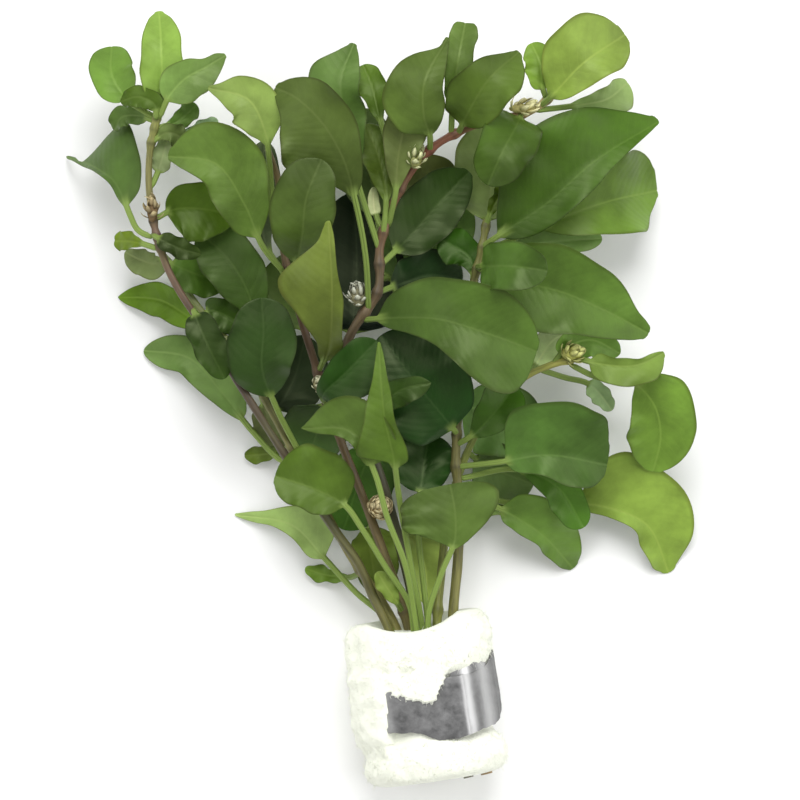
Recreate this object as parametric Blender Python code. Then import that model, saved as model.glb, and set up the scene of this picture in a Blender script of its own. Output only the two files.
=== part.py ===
"""A bunch of alternanthera cuttings for an aquarium, lying on a flat surface.

Cut stems carry spoon-shaped leaves in pairs, with small papery flower heads
in the leaf axils.  Their cut ends are wrapped in a roll of white wool, and a
soft lead strip is wound round the wool.  Metres, +Z up: the surface is at
z = 0, the shoots point to +Y and the wool roll is at the -Y end.
"""

import math

import bmesh
import bpy
from mathutils import Vector

MM = 0.001

# The bunch is laid out in millimetres on a plan whose zero is near the middle
# of the leaves.  This shift brings the middle of its outline to the origin.
PLAN_SHIFT = Vector((-0.24, 0.1, 0.0))

# Gap kept between pieces that touch in the real bunch.
GAP = 0.3

# Leaves: radius of the leaf stalk, and half the thickness of the blade.
STALK_RADIUS = 0.75
BLADE_HALF_THICKNESS = 0.26
STALK_STEP = 13.0
BROAD_BLADE_PLACES = (0.0, 0.22, 0.45, 0.68, 0.87, 0.97)
SMALL_BLADE_PLACES = (0.0, 0.28, 0.55, 0.8, 0.95)
SMALL_LEAF = 6.8
# Where along a blade the half-widths of an uneven leaf are given.
EDGE_PLACES = (0.08, 0.22, 0.45, 0.68, 0.87, 0.97)

# Wool roll: its axis runs from the mouth, where the stems go in, to the foot.
WOOL_MOUTH = Vector((9.0, -55.25, 17.2))
WOOL_FOOT = Vector((14.9, -94.6, 17.2))
WOOL_RADIUS = 18.0
WOOL_WAIST_RADIUS = 16.0
BORE_WIDE = 12.0
BORE_HIGH = 8.0
WOOL_SIDES = 18

# Lead strip: wound a little more than once round the waist of the wool.
STRIP_WIDTH = 13.5
STRIP_THICKNESS = 0.7
STRIP_TURNS = 1.12
STRIP_STEPS = 24
STRIP_PLACE = 0.56

STEM_SIDES = 5
STEM_STEP = 9.0

LEAF_GREEN = (0.10, 0.23, 0.045)
LEAF_DARK = (0.035, 0.11, 0.025)
LEAF_BRIGHT = (0.28, 0.45, 0.09)
LEAF_UNDERSIDE = (0.20, 0.33, 0.11)
STEM_BROWN = (0.16, 0.09, 0.05)
STEM_TAN = (0.30, 0.20, 0.10)
WOOL_WHITE = (0.92, 0.93, 0.88)
LEAD_GREY = (0.24, 0.24, 0.25)
FLOWER_CREAM = (0.62, 0.58, 0.38)


def clear_scene():
    for item in list(bpy.data.objects):
        bpy.data.objects.remove(item, do_unlink=True)


def finish(name, colour, roughness, metallic=0.0):
    material = bpy.data.materials.new(name)
    material.use_nodes = True
    shader = material.node_tree.nodes["Principled BSDF"]
    shader.inputs["Base Color"].default_value = (*colour, 1.0)
    shader.inputs["Roughness"].default_value = roughness
    shader.inputs["Metallic"].default_value = metallic
    return material


def add_piece(name, points, faces, material):
    """One closed solid from points in millimetres on the plan."""
    mesh = bpy.data.meshes.new(name)
    mesh.from_pydata([(point + PLAN_SHIFT) * MM for point in points], [], faces)
    shape = bmesh.new()
    shape.from_mesh(mesh)
    bmesh.ops.triangulate(shape, faces=shape.faces)
    bmesh.ops.recalc_face_normals(shape, faces=shape.faces)
    shape.to_mesh(mesh)
    shape.free()
    mesh.shade_smooth()
    mesh.set_sharp_from_angle(angle=math.radians(50))
    mesh.materials.append(material)
    piece = bpy.data.objects.new(name, mesh)
    bpy.context.scene.collection.objects.link(piece)
    return piece


def fuse(base, extra):
    """Join a hidden piece to the one that it grows from."""
    extra.hide_render = True
    extra.display_type = 'WIRE'
    union = base.modifiers.new("fuse_" + extra.name, 'BOOLEAN')
    union.operation = 'UNION'
    union.solver = 'EXACT'
    union.material_mode = 'TRANSFER'
    union.object = extra


def smooth_route(points, per_span=12):
    """Many points along a smooth curve through the given ones."""
    knots = [Vector(point) for point in points]
    knots = [2 * knots[0] - knots[1]] + knots + [2 * knots[-1] - knots[-2]]
    route = []
    for before, start, end, after in zip(knots, knots[1:], knots[2:], knots[3:]):
        span = (end - start).length
        back = max((start - before).length, 1e-6)
        ahead = max((after - end).length, 1e-6)
        leave = ((end - start) / span * back + (start - before) / back * span) / (back + span) * span
        arrive = ((after - end) / ahead * span + (end - start) / span * ahead) / (ahead + span) * span
        for k in range(per_span):
            t = k / per_span
            route.append((2 * t**3 - 3 * t**2 + 1) * start + (t**3 - 2 * t**2 + t) * leave
                         + (3 * t**2 - 2 * t**3) * end + (t**3 - t**2) * arrive)
    route.append(knots[-2])
    return route


def lengths_along(route):
    lengths = [0.0]
    for start, end in zip(route, route[1:]):
        lengths.append(lengths[-1] + (end - start).length)
    return lengths


def place_along(route, lengths, distance):
    """The point of a route at a distance from its start."""
    for i in range(len(route) - 1):
        if distance <= lengths[i + 1]:
            part = (distance - lengths[i]) / max(lengths[i + 1] - lengths[i], 1e-9)
            return route[i].lerp(route[i + 1], part)
    return route[-1].copy()


def directions(places):
    ahead = places[1:] + places[-1:]
    behind = places[:1] + places[:-1]
    return [(a - b).normalized() for a, b in zip(ahead, behind)]


def carried_sides(tangents, middle):
    """Side vectors along a route: level at its middle, then carried both ways without twist."""
    sides = [None] * len(tangents)
    sides[middle] = Vector((0, 0, 1)).cross(tangents[middle]).normalized()
    for i in range(middle + 1, len(tangents)):
        sides[i] = (sides[i - 1] - sides[i - 1].dot(tangents[i]) * tangents[i]).normalized()
    for i in range(middle - 1, -1, -1):
        sides[i] = (sides[i + 1] - sides[i + 1].dot(tangents[i]) * tangents[i]).normalized()
    return sides


stem_routes = {}


def stem(name, points, base_radius, tip_radius, material):
    """A round stem, a little thicker at each leaf joint, through the given points."""
    route = smooth_route(points)
    lengths = lengths_along(route)
    count = max(4, round(lengths[-1] / STEM_STEP) + 1)
    places = [place_along(route, lengths, lengths[-1] * i / (count - 1)) for i in range(count)]
    stem_routes[name] = (route, max(base_radius, tip_radius))
    tangents = directions(places)
    sides = carried_sides(tangents, count // 2)
    rings = []
    for i in range(count):
        radius = base_radius + (tip_radius - base_radius) * i / (count - 1)
        rise = tangents[i].cross(sides[i])
        ring = []
        for k in range(STEM_SIDES):
            turn = 2 * math.pi * k / STEM_SIDES
            ring.append(places[i] + (sides[i] * math.cos(turn) + rise * math.sin(turn)) * radius)
        rings.append(ring)
    points_all = [point for ring in rings for point in ring]
    return add_piece(name, points_all, ring_faces(count, STEM_SIDES), material)


def ring_faces(rings, sides):
    """Faces of a closed tube of rings, with flat ends."""
    faces = []
    for i in range(rings - 1):
        for k in range(sides):
            after = (k + 1) % sides
            faces.append((i * sides + k, i * sides + after, (i + 1) * sides + after, (i + 1) * sides + k))
    faces.append(tuple(reversed(range(sides))))
    faces.append(tuple(range((rings - 1) * sides, rings * sides)))
    return faces


def blade_outline(u, half, belly, tip):
    """Half-width of a blade at u along it.

    half is either the greatest half-width of a spoon shape, which lies at belly
    and is blunt for a small tip value, or the half-widths at EDGE_PLACES.
    """
    if u <= 0.0 or u >= 1.0:
        return 0.0
    if isinstance(half, tuple):
        places = (0.0, *EDGE_PLACES, 1.0)
        widths = (0.0, *half, 0.0)
        span = next(i for i in range(len(places) - 1) if u <= places[i + 1])
        length = places[span + 1] - places[span]
        t = (u - places[span]) / length
        before = max(span - 1, 0)
        after = min(span + 2, len(places) - 1)
        leave = (widths[span + 1] - widths[before]) / (places[span + 1] - places[before]) * length
        arrive = (widths[after] - widths[span]) / (places[after] - places[span]) * length
        width = ((2 * t**3 - 3 * t**2 + 1) * widths[span] + (t**3 - 2 * t**2 + t) * leave
                 + (3 * t**2 - 2 * t**3) * widths[span + 1] + (t**3 - t**2) * arrive)
        return max(width, 0.0)
    base = tip * belly / (1 - belly)
    return half * (u / belly) ** base * ((1 - u) / (1 - belly)) ** tip


def across_blade(share, half_width, fold, bend):
    """Sideways and upward place of a point across half a blade, bent as an arc."""
    if abs(bend) < 1e-4:
        return share * half_width * math.cos(fold), share * half_width * math.sin(fold)
    end = fold + bend * share
    return (half_width * (math.sin(end) - math.sin(fold)) / bend,
            half_width * (math.cos(fold) - math.cos(end)) / bend)


def leaf(name, on, spine, halves, material, start=0.35, belly=(0.66, 0.66), tip=0.55, lobe=(1.0, 1.0),
         fold=(8.0, 8.0), bend=(18.0, 18.0), joined=False):
    """A leaf from its stem to its tip.

    spine goes along the stalk and midrib; halves are the greatest half-widths
    to the left and right of it, looking along it, or the half-widths at
    EDGE_PLACES; start is the share of it that is stalk; a lobe value over 1
    draws that half out to a point; fold and bend lift each half, in degrees; a
    joined leaf is one with its stem.
    """
    route = smooth_route(spine)
    lengths = lengths_along(route)
    total = lengths[-1]
    clear = 0.0 if joined else stem_clearance(route, lengths, on)
    widest = [max(half) if isinstance(half, tuple) else half for half in halves]
    small = joined or max(widest) < SMALL_LEAF
    blade_places = SMALL_BLADE_PLACES if small else BROAD_BLADE_PLACES
    stalk_end = max(total * start, clear + 0.5)
    stalk_count = max(1, round((stalk_end - clear) / STALK_STEP))
    distances = [clear + (stalk_end - clear) * i / stalk_count for i in range(stalk_count)]
    distances += [stalk_end + (total - stalk_end) * u for u in blade_places]
    places = [place_along(route, lengths, distance) for distance in distances + [total]]
    tangents = directions(places)
    sides = carried_sides(tangents, stalk_count + len(blade_places) // 2)
    shares = (1, 0) if small else (1, 0.5, 0)
    points = []
    for i, distance in enumerate(distances):
        u = max(0.0, (distance - stalk_end) / (total - stalk_end))
        side = sides[i]
        rise = tangents[i].cross(side)
        stalk = max(0.0, 1 - u / 0.45)
        thick = BLADE_HALF_THICKNESS + (STALK_RADIUS - BLADE_HALF_THICKNESS) * stalk
        upper = []
        lower = []
        for half in (0, 1):
            widen = (blade_outline(u, halves[half], belly[half], tip) / widest[half]) ** lobe[half]
            half_width = STALK_RADIUS * stalk + widest[half] * widen
            for share in (shares if half == 0 else reversed(shares)):
                if half == 1 and share == 0:
                    continue
                away, up = across_blade(share, half_width, math.radians(fold[half]),
                                        math.radians(bend[half]) * widen)
                lean = math.radians(fold[half] + bend[half] * widen * share)
                hand = 1 if half == 0 else -1
                centre = places[i] + side * hand * away + rise * up
                normal = rise * math.cos(lean) - side * hand * math.sin(lean)
                depth = thick * math.sqrt(1 - share * share)
                centre.z = max(centre.z, thick)
                if share == 0:
                    normal = rise
                upper.append(centre + normal * depth)
                lower.append(centre - normal * depth)
        ring = upper + lower[-2:0:-1]
        points += [Vector((p.x, p.y, max(p.z, 0.0))) for p in ring]
    ring_size = len(ring)
    end = places[-1].copy()
    end.z = max(end.z, BLADE_HALF_THICKNESS)
    points.append(end)
    faces = ring_faces(len(distances), ring_size)[:-1]
    last = (len(distances) - 1) * ring_size
    for k in range(ring_size):
        faces.append((last + k, last + (k + 1) % ring_size, len(points) - 1))
    piece = add_piece(name, points, faces, material)
    if joined:
        fuse(bpy.data.objects[on], piece)
    return piece


def stem_clearance(route, lengths, on):
    """How far along its route a leaf stalk starts, to stay just clear of its stem."""
    stem_route, radius = stem_routes[on]
    reach = radius + STALK_RADIUS + GAP
    for point, length in zip(route, lengths):
        if min((point - other).length for other in stem_route) >= reach:
            return length
    return 0.0


def flower_head(name, on, centre, size, material):
    """A small papery head in a leaf axil: a rounded lump whose bracts stand out in rows."""
    shape = bmesh.new()
    bmesh.ops.create_icosphere(shape, subdivisions=2, radius=1.0)
    points = []
    for i, vert in enumerate(shape.verts):
        stand = 1.12 if i % 3 == 0 else 0.9
        points.append(Vector(centre) + Vector([vert.co[k] * size[k] * stand for k in range(3)]))
    faces = [tuple(vert.index for vert in face.verts) for face in shape.faces]
    shape.free()
    fuse(bpy.data.objects[on], add_piece(name, points, faces, material))


def wool_frame(share):
    """A point on the roll's axis, and the directions across it and upward."""
    axis = (WOOL_FOOT - WOOL_MOUTH).normalized()
    across = Vector((0, 0, 1)).cross(axis).normalized()
    return WOOL_MOUTH.lerp(WOOL_FOOT, share), across * -1, Vector((0, 0, 1))


def wool_roll(material):
    """White wool rolled round the cut ends, pulled in where the lead strip grips it."""
    # Share of the roll's length, and how far out its surface stands there.
    profile = (
        (0.02, 13.4), (-0.03, 15.6), (0.03, 17.6), (0.14, 18.4), (0.27, WOOL_RADIUS), (0.345, 17.6),
        (0.385, WOOL_WAIST_RADIUS), (0.735, WOOL_WAIST_RADIUS), (0.77, 17.6), (0.87, 18.2), (0.965, 17.4),
        (1.01, 15.0))
    rings = []
    for share, radius in profile:
        centre, across, up = wool_frame(share)
        ring = []
        for k in range(WOOL_SIDES):
            turn = 2 * math.pi * k / WOOL_SIDES
            lump = 1 + 0.03 * math.sin(3 * turn + 9 * share) + 0.02 * math.sin(5 * turn - 14 * share)
            if radius == WOOL_WAIST_RADIUS:
                lump = 1.0
            point = centre + across * math.cos(turn) * radius * lump + up * math.sin(turn) * radius * lump
            point.z = max(point.z, 0.0)
            ring.append(point)
        rings.append(ring)
    for share in (0.98, 0.5, 0.05):
        centre, across, up = wool_frame(share)
        rings.append([centre + across * math.cos(2 * math.pi * k / WOOL_SIDES) * BORE_WIDE
                      + up * math.sin(2 * math.pi * k / WOOL_SIDES) * BORE_HIGH for k in range(WOOL_SIDES)])
    points = [point for ring in rings for point in ring]
    faces = []
    for i in range(len(rings)):
        after_ring = (i + 1) % len(rings)
        for k in range(WOOL_SIDES):
            after = (k + 1) % WOOL_SIDES
            faces.append((i * WOOL_SIDES + k, i * WOOL_SIDES + after,
                          after_ring * WOOL_SIDES + after, after_ring * WOOL_SIDES + k))
    return add_piece("wool_wrap", points, faces, material)


def lead_strip(material):
    """A flat lead strip bent round the waist, its outer end lapping over its inner end."""
    middle, across, up = wool_frame(STRIP_PLACE)
    axis = (WOOL_FOOT - WOOL_MOUTH).normalized()
    inner = WOOL_WAIST_RADIUS + GAP
    points = []
    for i in range(STRIP_STEPS + 1):
        share = i / STRIP_STEPS
        turn = math.radians(62) - 2 * math.pi * STRIP_TURNS * share
        lap = max(0.0, share * STRIP_TURNS - (STRIP_TURNS - 0.22)) / 0.22
        radius = inner + min(1.0, lap * 1.8) * (STRIP_THICKNESS + GAP)
        out = across * math.cos(turn) + up * math.sin(turn)
        for side, depth in ((-0.5, 0.0), (0.5, 0.0), (0.5, STRIP_THICKNESS), (-0.5, STRIP_THICKNESS)):
            points.append(middle + axis * STRIP_WIDTH * side + out * (radius + depth))
    return add_piece("lead_strip", points, ring_faces(STRIP_STEPS + 1, 4), material)


clear_scene()

green = finish("leaf_green", LEAF_GREEN, 0.42)
dark = finish("leaf_dark", LEAF_DARK, 0.38)
bright = finish("leaf_bright", LEAF_BRIGHT, 0.45)
pale = finish("leaf_underside", LEAF_UNDERSIDE, 0.6)
brown = finish("stem_brown", STEM_BROWN, 0.6)
tan = finish("stem_tan", STEM_TAN, 0.6)
cream = finish("flower_cream", FLOWER_CREAM, 0.8)
white = finish("wool_white", WOOL_WHITE, 0.95)
grey = finish("lead_grey", LEAD_GREY, 0.5, 0.6)

wool_roll(white)
lead_strip(grey)

# Stems, each from its cut end in the wool to its shoot tip.
stem("stem_left", [(7.0, -94, 16), (2.6, -58, 17.5), (-1.25, -50, 18), (-5.75, -40.25, 20),
                   (-10.25, -34, 21), (-25.5, -11, 24), (-41, 13.5, 25), (-53.5, 34.25, 25),
                   (-57.25, 50, 25), (-57, 63.5, 27), (-55.25, 70.75, 29)],
     1.25, 0.85, brown)
stem("stem_left_lower", [(9, -93.8, 12), (4.5, -58, 12.5), (-8, -38, 12.5), (-20.25, -15.75, 15),
                         (-27.25, -2.75, 16), (-36, 12, 15), (-46, 24, 14), (-54, 36, 13)],
     1.2, 0.8, tan)
stem("stem_middle", [(12, -93.4, 13), (7.5, -58, 13.5), (-2, -30, 18), (-12, -4, 22), (-17, 12, 25),
                     (-19.5, 20, 26), (-23.5, 35.25, 27), (-25.5, 55.75, 28), (-27.75, 62.25, 30)],
     1.3, 0.85, brown)
stem("stem_tall", [(15, -93, 14), (10.5, -58, 14.5), (2, -25, 20), (-6, 2, 24), (-8, 14, 25),
                   (-6.5, 17.25, 26), (-0.25, 27.25, 27), (0.25, 38, 27), (5.25, 52.25, 29),
                   (12.75, 62.25, 31), (19.75, 66.5, 32), (28.75, 69.75, 31), (37.75, 71.75, 30),
                   (44, 76.25, 30)],
     1.5, 0.9, brown)
stem("stem_right", [(24.6, -94.3, 17), (18.5, -58, 18), (19.75, -40.25, 18), (20.25, -30.25, 18),
                    (19.25, -14.25, 20), (19.75, -5, 22), (22, 10, 23), (23.5, 28, 25), (26, 39, 27),
                    (27, 45, 27)],
     1.4, 0.9, brown)
stem("stem_right_side", [(20.5, -95.2, 15), (14.5, -58, 15), (15.5, -45, 14), (19, -22, 14), (26, -6, 17),
                         (37.75, 6.25, 23), (43, 8.5, 25), (49, 10.25, 26)],
     1.2, 0.85, tan)

# Left shoot.
leaf("leaf_left_round", "stem_left", [(-55.5, 70, 28), (-63.0, 75, 27), (-66.6, 80.5, 25),
                                      (-67.0, 88.3, 20)],
     (5.7, 5.9), green, start=0.36, belly=(0.5, 0.5), tip=0.45)
leaf("leaf_left_tip", "stem_left", [(-55.25, 70.75, 30), (-54.3, 76.75, 31), (-54.3, 87.25, 31),
                                    (-55.0, 97, 25)],
     ((3.4, 5.0, 5.4, 4.6, 3.0, 1.2), (3.8, 5.2, 5.6, 5.0, 3.2, 1.2)), bright, start=0.12)
leaf("leaf_left_back", "stem_left", [(-54.75, 70.25, 30), (-52.25, 75.5, 32.5), (-48, 80, 34),
                                     (-43.5, 82.5, 33.5), (-38.2, 85.8, 31)],
     ((2.5, 4.4, 4.8, 2.4, 1.8, 0.8), (3, 5.2, 6.2, 4.4, 2.2, 0.8)), pale, start=0.2)
leaf("leaf_left_curl", "stem_left", [(-55.6, 70, 30), (-56, 73.6, 31.5), (-59.5, 75.3, 31),
                                     (-64.5, 74.3, 28)],
     (3.0, 2.8), dark, start=0.15, belly=(0.5, 0.5))
leaf("leaf_left_point", "stem_left", [(-57.0, 40.5, 25), (-60.25, 42.2, 24.5), (-62.25, 46, 24.5),
                                      (-64.25, 51, 24), (-66.5, 54.75, 22), (-69.8, 57.2, 18),
                                      (-79.0, 61.2, 1)],
     ((0.8, 1.0, 1.2, 1.0, 0.7, 0.4), (5, 7.8, 12.4, 0.7, 0.6, 0.4)), green, start=0.24, fold=(8, -6), bend=(18, -6))
leaf("leaf_left_broad", "stem_middle", [(-24, 32, 28), (-28.5, 37.25, 31), (-33.5, 48.5, 34),
                                        (-40.5, 58.5, 35), (-52.6, 60.5, 33)],
     ((4, 6.2, 6.8, 5.6, 3.2, 1.2), (2.4, 6, 10, 10.4, 6.5, 2.6)), green, start=0.25)
leaf("leaf_left_under", "stem_left", [(-56, 45, 25), (-51, 47.5, 22), (-43.5, 47.5, 21.5),
                                      (-35.75, 45.75, 20.5)],
     (7.0, 9), dark, start=0.18, belly=(0.5, 0.36))
leaf("leaf_left_dull", "stem_left_lower", [(-33, 8, 15.5), (-32, 24, 18), (-37.5, 34.75, 19),
                                           (-45, 41.75, 16)],
     (7.5, 7.5), dark, start=0.35, belly=(0.55, 0.55))
leaf("leaf_left_mid", "stem_left_lower", [(-53, 34.5, 13.5), (-50, 33, 16), (-45, 31, 15),
                                          (-38.5, 29, 12.5)],
     (6.5, 5.5), dark, start=0.1, belly=(0.5, 0.5))
leaf("leaf_low_left_point", "stem_left_lower", [(-37, 13, 15), (-47.25, 20.25, 10), (-54.75, 24.75, 5),
                                                (-66, 25.75, 0)],
     (4.2, 4.8), green, start=0.25, belly=(0.5, 0.45), tip=0.8)
leaf("leaf_low_left_broad", "stem_left_lower", [(-20.6, -16, 14.5), (-24.5, -15.5, 9), (-32.25, -7.75, 7),
                                                (-39.75, 1.75, 5), (-47.75, 10.25, 3), (-59.5, 12.25, 0)],
     (5, 6), green, start=0.4, belly=(0.6, 0.5), tip=0.6)
leaf("leaf_left_shade", "stem_left_lower", [(-19.25, -15, 15), (-26.2, -1, 23), (-29.25, 8.5, 31),
                                            (-28.75, 17.25, 33.5), (-29.25, 25.25, 34)],
     (9.3, 9), dark, start=0.42, belly=(0.6, 0.6))

# Middle shoots.
leaf("leaf_top_bright", "stem_middle", [(-26.5, 46, 28), (-27.25, 58.5, 34), (-28.5, 67, 38),
                                        (-32, 74, 40), (-42.5, 77.4, 38.5)],
     ((1.5, 4.4, 7.0, 5.2, 2.2, 0.8), (1.5, 4.6, 6.4, 5.0, 2.0, 0.8)), bright, start=0.45)
leaf("leaf_top_folded", "stem_tall", [(-1.25, 22.25, 28), (-3.25, 34.75, 34), (-6, 49.75, 40),
                                      (-9, 60, 43.5), (-14.5, 69, 45), (-20.5, 74.7, 44),
                                      (-25.8, 77.4, 40)],
     ((3, 9.5, 14.0, 10.8, 5.5, 2), (2, 4, 7.4, 8.6, 4.4, 1.7)), green, start=0.46, fold=(-12, 10))
leaf("leaf_top_back", "stem_tall", [(-1, 38, 28), (-6.75, 59.75, 30), (-8.5, 69.75, 32), (-9.6, 78.5, 33),
                                    (-6.25, 88.8, 29)],
     ((3, 5.2, 7.6, 8.4, 3.6, 1.2), (2.4, 4.2, 5.4, 5.0, 3.0, 1.1)), green, start=0.4)
leaf("leaf_top_small", "stem_tall", [(5, 52, 29), (3.2, 58, 32), (2.0, 64, 31.8), (-0.2, 71.5, 30.5),
                                     (-1.7, 78, 29), (-4, 83.5, 27)],
     (3.8, 3.6), green, start=0.55)
leaf("leaf_middle_obovate", "stem_middle", [(-22.5, 31, 28), (-20.5, 34.25, 34), (-19, 41, 42),
                                            (-18, 49.75, 46), (-14.25, 59.5, 46)],
     (9, 8), green, start=0.18, belly=(0.6, 0.6))
leaf("leaf_middle_olive", "stem_tall", [(1, 41, 28), (1.8, 49.75, 29.5), (0.5, 58.5, 28.5),
                                        (-3.25, 68.75, 26)],
     (5, 5), dark, start=0.3, fold=(8, -12), bend=(18, 0))
leaf("leaf_middle_strip", "stem_middle", [(-22, 29, 27), (-28.75, 39.75, 22), (-29.25, 52.25, 20),
                                          (-28.75, 64.75, 18)],
     (4.5, 4.5), dark, start=0.25)
leaf("leaf_crown_left", "stem_tall", [(12.75, 62, 31), (12.6, 66, 37.5), (11.25, 70, 42), (11, 77, 44),
                                      (17.1, 90, 39)],
     ((3, 7.4, 10.2, 5.6, 0.9, 0.5), (2, 4.5, 5.4, 4, 2, 0.8)), green, start=0.2)
leaf("leaf_crown_dull", "stem_tall", [(3.2, 44, 28), (4.2, 52, 33), (4.75, 60, 35), (6.5, 68.5, 36),
                                      (8.75, 76, 34)],
     (5, 6), dark, start=0.3, fold=(8, -10))
leaf("leaf_crown_pale", "stem_tall", [(18, 66, 32), (18.5, 76, 38), (19.8, 84.75, 40), (21.5, 93.6, 36)],
     ((1.5, 2.2, 3.0, 3.2, 3.2, 2.4), (1.8, 2.8, 3.6, 4.0, 3.8, 2.8)), pale, start=0.3)
leaf("leaf_crown_right", "stem_tall", [(19.75, 66.25, 32), (22.5, 71.75, 41), (27, 79, 45),
                                       (34.8, 86.3, 41)],
     ((3.5, 6, 7.6, 5.0, 2.2, 0.9), (2.5, 5.4, 7.6, 8.0, 5.4, 1.8)), green, start=0.14)

# Upper right shoot.
leaf("leaf_corner_bright", "stem_tall", [(40.25, 73, 30), (44.0, 76.5, 34), (50.0, 82.8, 38),
                                         (61.3, 90.8, 33)],
     ((3, 6.8, 11.0, 10.8, 7.4, 3.2), (2, 4.0, 5.8, 7.0, 5.6, 2.8)), bright, start=0.14)
leaf("leaf_corner_under", "stem_tall", [(39, 72, 30), (50.25, 73.5, 26), (56.5, 74.75, 25),
                                        (62.25, 79.25, 20)],
     (3.4, 5.5), pale, start=0.35)
leaf("leaf_right_large", "stem_right", [(25.75, 38, 27), (30.25, 41, 32), (41.5, 48.5, 34),
                                        (52.75, 58.5, 33.5), (70, 69.4, 26)],
     ((6, 14, 16.5, 13, 6.5, 2.4), (3, 5, 5.6, 3.8, 1.8, 0.7)), green, start=0.12, fold=(2, 8), bend=(6, 18))
leaf("leaf_right_fold", "stem_tall", [(35.5, 71, 30), (34, 67.5, 38), (30.5, 61, 42.5), (27.0, 53, 42)],
     (8, 7.5), green, start=0.12, belly=(0.5, 0.5))
leaf("leaf_right_lobe", "stem_right", [(25, 36, 26), (30.25, 38.5, 27), (40.25, 43.0, 26), (54, 48.4, 23),
                                       (70.0, 52.5, 6)],
     ((2, 4.5, 8, 11.5, 9.0, 4.2), (2.5, 5.5, 8.5, 10.8, 8.6, 4.2)), green, start=0.3)
leaf("leaf_right_band", "stem_right", [(23.5, 28, 25), (23, 35, 22), (15.25, 40.25, 21)],
     (5, 5), dark, start=0.2)
leaf("leaf_right_back", "stem_tall", [(0.5, 33.5, 27), (8, 41, 22), (15, 49, 21), (22.6, 57, 18)],
     ((5, 7.4, 8.2, 7.8, 5, 2), (3.5, 6, 7.2, 6.6, 4.2, 1.8)), dark, start=0.16)
leaf("leaf_centre_back", "stem_tall", [(-0.5, 26.5, 27), (6, 29, 21), (13, 31, 18), (21, 30, 13)],
     (7, 7), dark, start=0.2, belly=(0.5, 0.5))

# Middle of the bunch.
leaf("leaf_centre_large", "stem_tall", [(-1.75, 20.25, 27), (5.25, 20.25, 34), (15.25, 19.75, 41),
                                        (27.75, 16, 43), (39.3, 11.75, 38)],
     ((4.5, 8, 11, 12, 8, 3.5), (2, 3.6, 7, 12, 13.4, 8.5)), green, start=0.09)
leaf("leaf_centre_round", "stem_right", [(24.5, 33, 26), (27.5, 33, 43.5), (34, 32.75, 51),
                                         (41.75, 31.75, 50)],
     (6.5, 6.5), green, start=0.35, belly=(0.55, 0.55), tip=0.5)
leaf("leaf_right_wide", "stem_right", [(24, 33, 26), (32.75, 29.75, 32), (46, 26.5, 34), (56.5, 22, 31),
                                       (67.4, 16.4, 26)],
     ((6, 10.6, 11.2, 8.8, 3.8, 2), (6, 11, 10.7, 7.8, 4.6, 2.2)), green, start=0.1)
leaf("leaf_centre_dark", "stem_right", [(19.75, -9, 21), (17, -5.5, 27), (10, 3, 28.5), (0.5, 16, 25.5)],
     (11.8, 13), dark, start=0.12, belly=(0.42, 0.5), fold=(0, 4), bend=(8, 8))
leaf("leaf_centre_olive", "stem_right", [(19.5, -11.5, 20.5), (24, -8.5, 25), (29, -3.25, 26),
                                         (34, 3.5, 24)],
     (6, 6), dark, start=0.25)
leaf("leaf_centre_low", "stem_right_side", [(13.4, -63.5, 15.0), (12.3, -56, 16), (11, -45, 18),
                                            (9.75, -30.25, 18.5), (10.8, -20, 17.5), (12.6, -8.6, 14.5)],
     (8.6, 7.6), dark, start=0.725, belly=(0.5, 0.55), bend=(18, 4))
leaf("leaf_middle_yellow", "stem_middle", [(-15, 7, 24), (-12.25, 14, 36), (-11.6, 25, 44),
                                           (-12.4, 44.25, 47)],
     ((1.5, 4, 15, 4.6, 3.4, 1.4), (2, 2.6, 2.4, 2, 1.6, 0.8)), bright, start=0.12)
leaf("leaf_middle_dark", "stem_middle", [(-13, -1.5, 22.5), (-14, 1, 29), (-8.5, 6.25, 33),
                                         (-0.5, 14.5, 34)],
     (5.5, 5.5), dark, start=0.15, tip=0.6)
leaf("leaf_middle_folded", "stem_tall", [(11.6, -62.5, 17.5), (10.5, -55, 18.5), (7.5, -39, 23),
                                         (4.75, -22.75, 30), (3.75, -15, 37), (1.5, -5, 41.5),
                                         (0, 14.2, 42)],
     ((8, 7.4, 4.6, 2.6, 1.3, 0.6), (3, 2.8, 2.8, 2, 1.1, 0.5)), bright, start=0.6)
leaf("leaf_middle_low", "stem_tall", [(10.1, -62.5, 21.0), (9, -55, 22), (6.5, -41.25, 28),
                                      (2, -29.25, 32), (-1, -18.5, 35), (-6, -8.6, 37),
                                      (-19.5, -7.25, 32)],
     (2.5, 9.5), green, start=0.677, belly=(0.4, 0.35), tip=0.9, lobe=(1, 1.2))
leaf("leaf_middle_inner", "stem_tall", [(-3.5, -6, 22), (1.2, -1, 33), (6, 2.5, 36.5), (13, 4, 37.5)],
     (3.2, 4), green, start=0.2, tip=0.8)
leaf("leaf_low_round", "stem_tall", [(8.85, -59.5, 19.0), (7.75, -52, 20), (1.5, -41.75, 23.5),
                                     (-4.5, -32, 26.5), (-8, -27, 27.5), (-16, -22.5, 28),
                                     (-26, -19.2, 27)],
     ((3, 5, 6, 6, 4.8, 2.2), (6, 9.5, 11, 10.4, 7.6, 3.8)), green, start=0.67)
leaf("leaf_low_pale", "stem_left_lower", [(4.8, -61.5, 13.8), (2.2, -56, 12.6), (-6, -48.5, 9.5),
                                          (-14.25, -39.5, 8), (-21.3, -32.2, 5), (-36.5, -29.2, 0)],
     ((2, 2.6, 2.4, 1.8, 1, 0.4), (6.5, 9.5, 5.2, 2.2, 1.2, 0.5)), pale, start=0.518)
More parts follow.
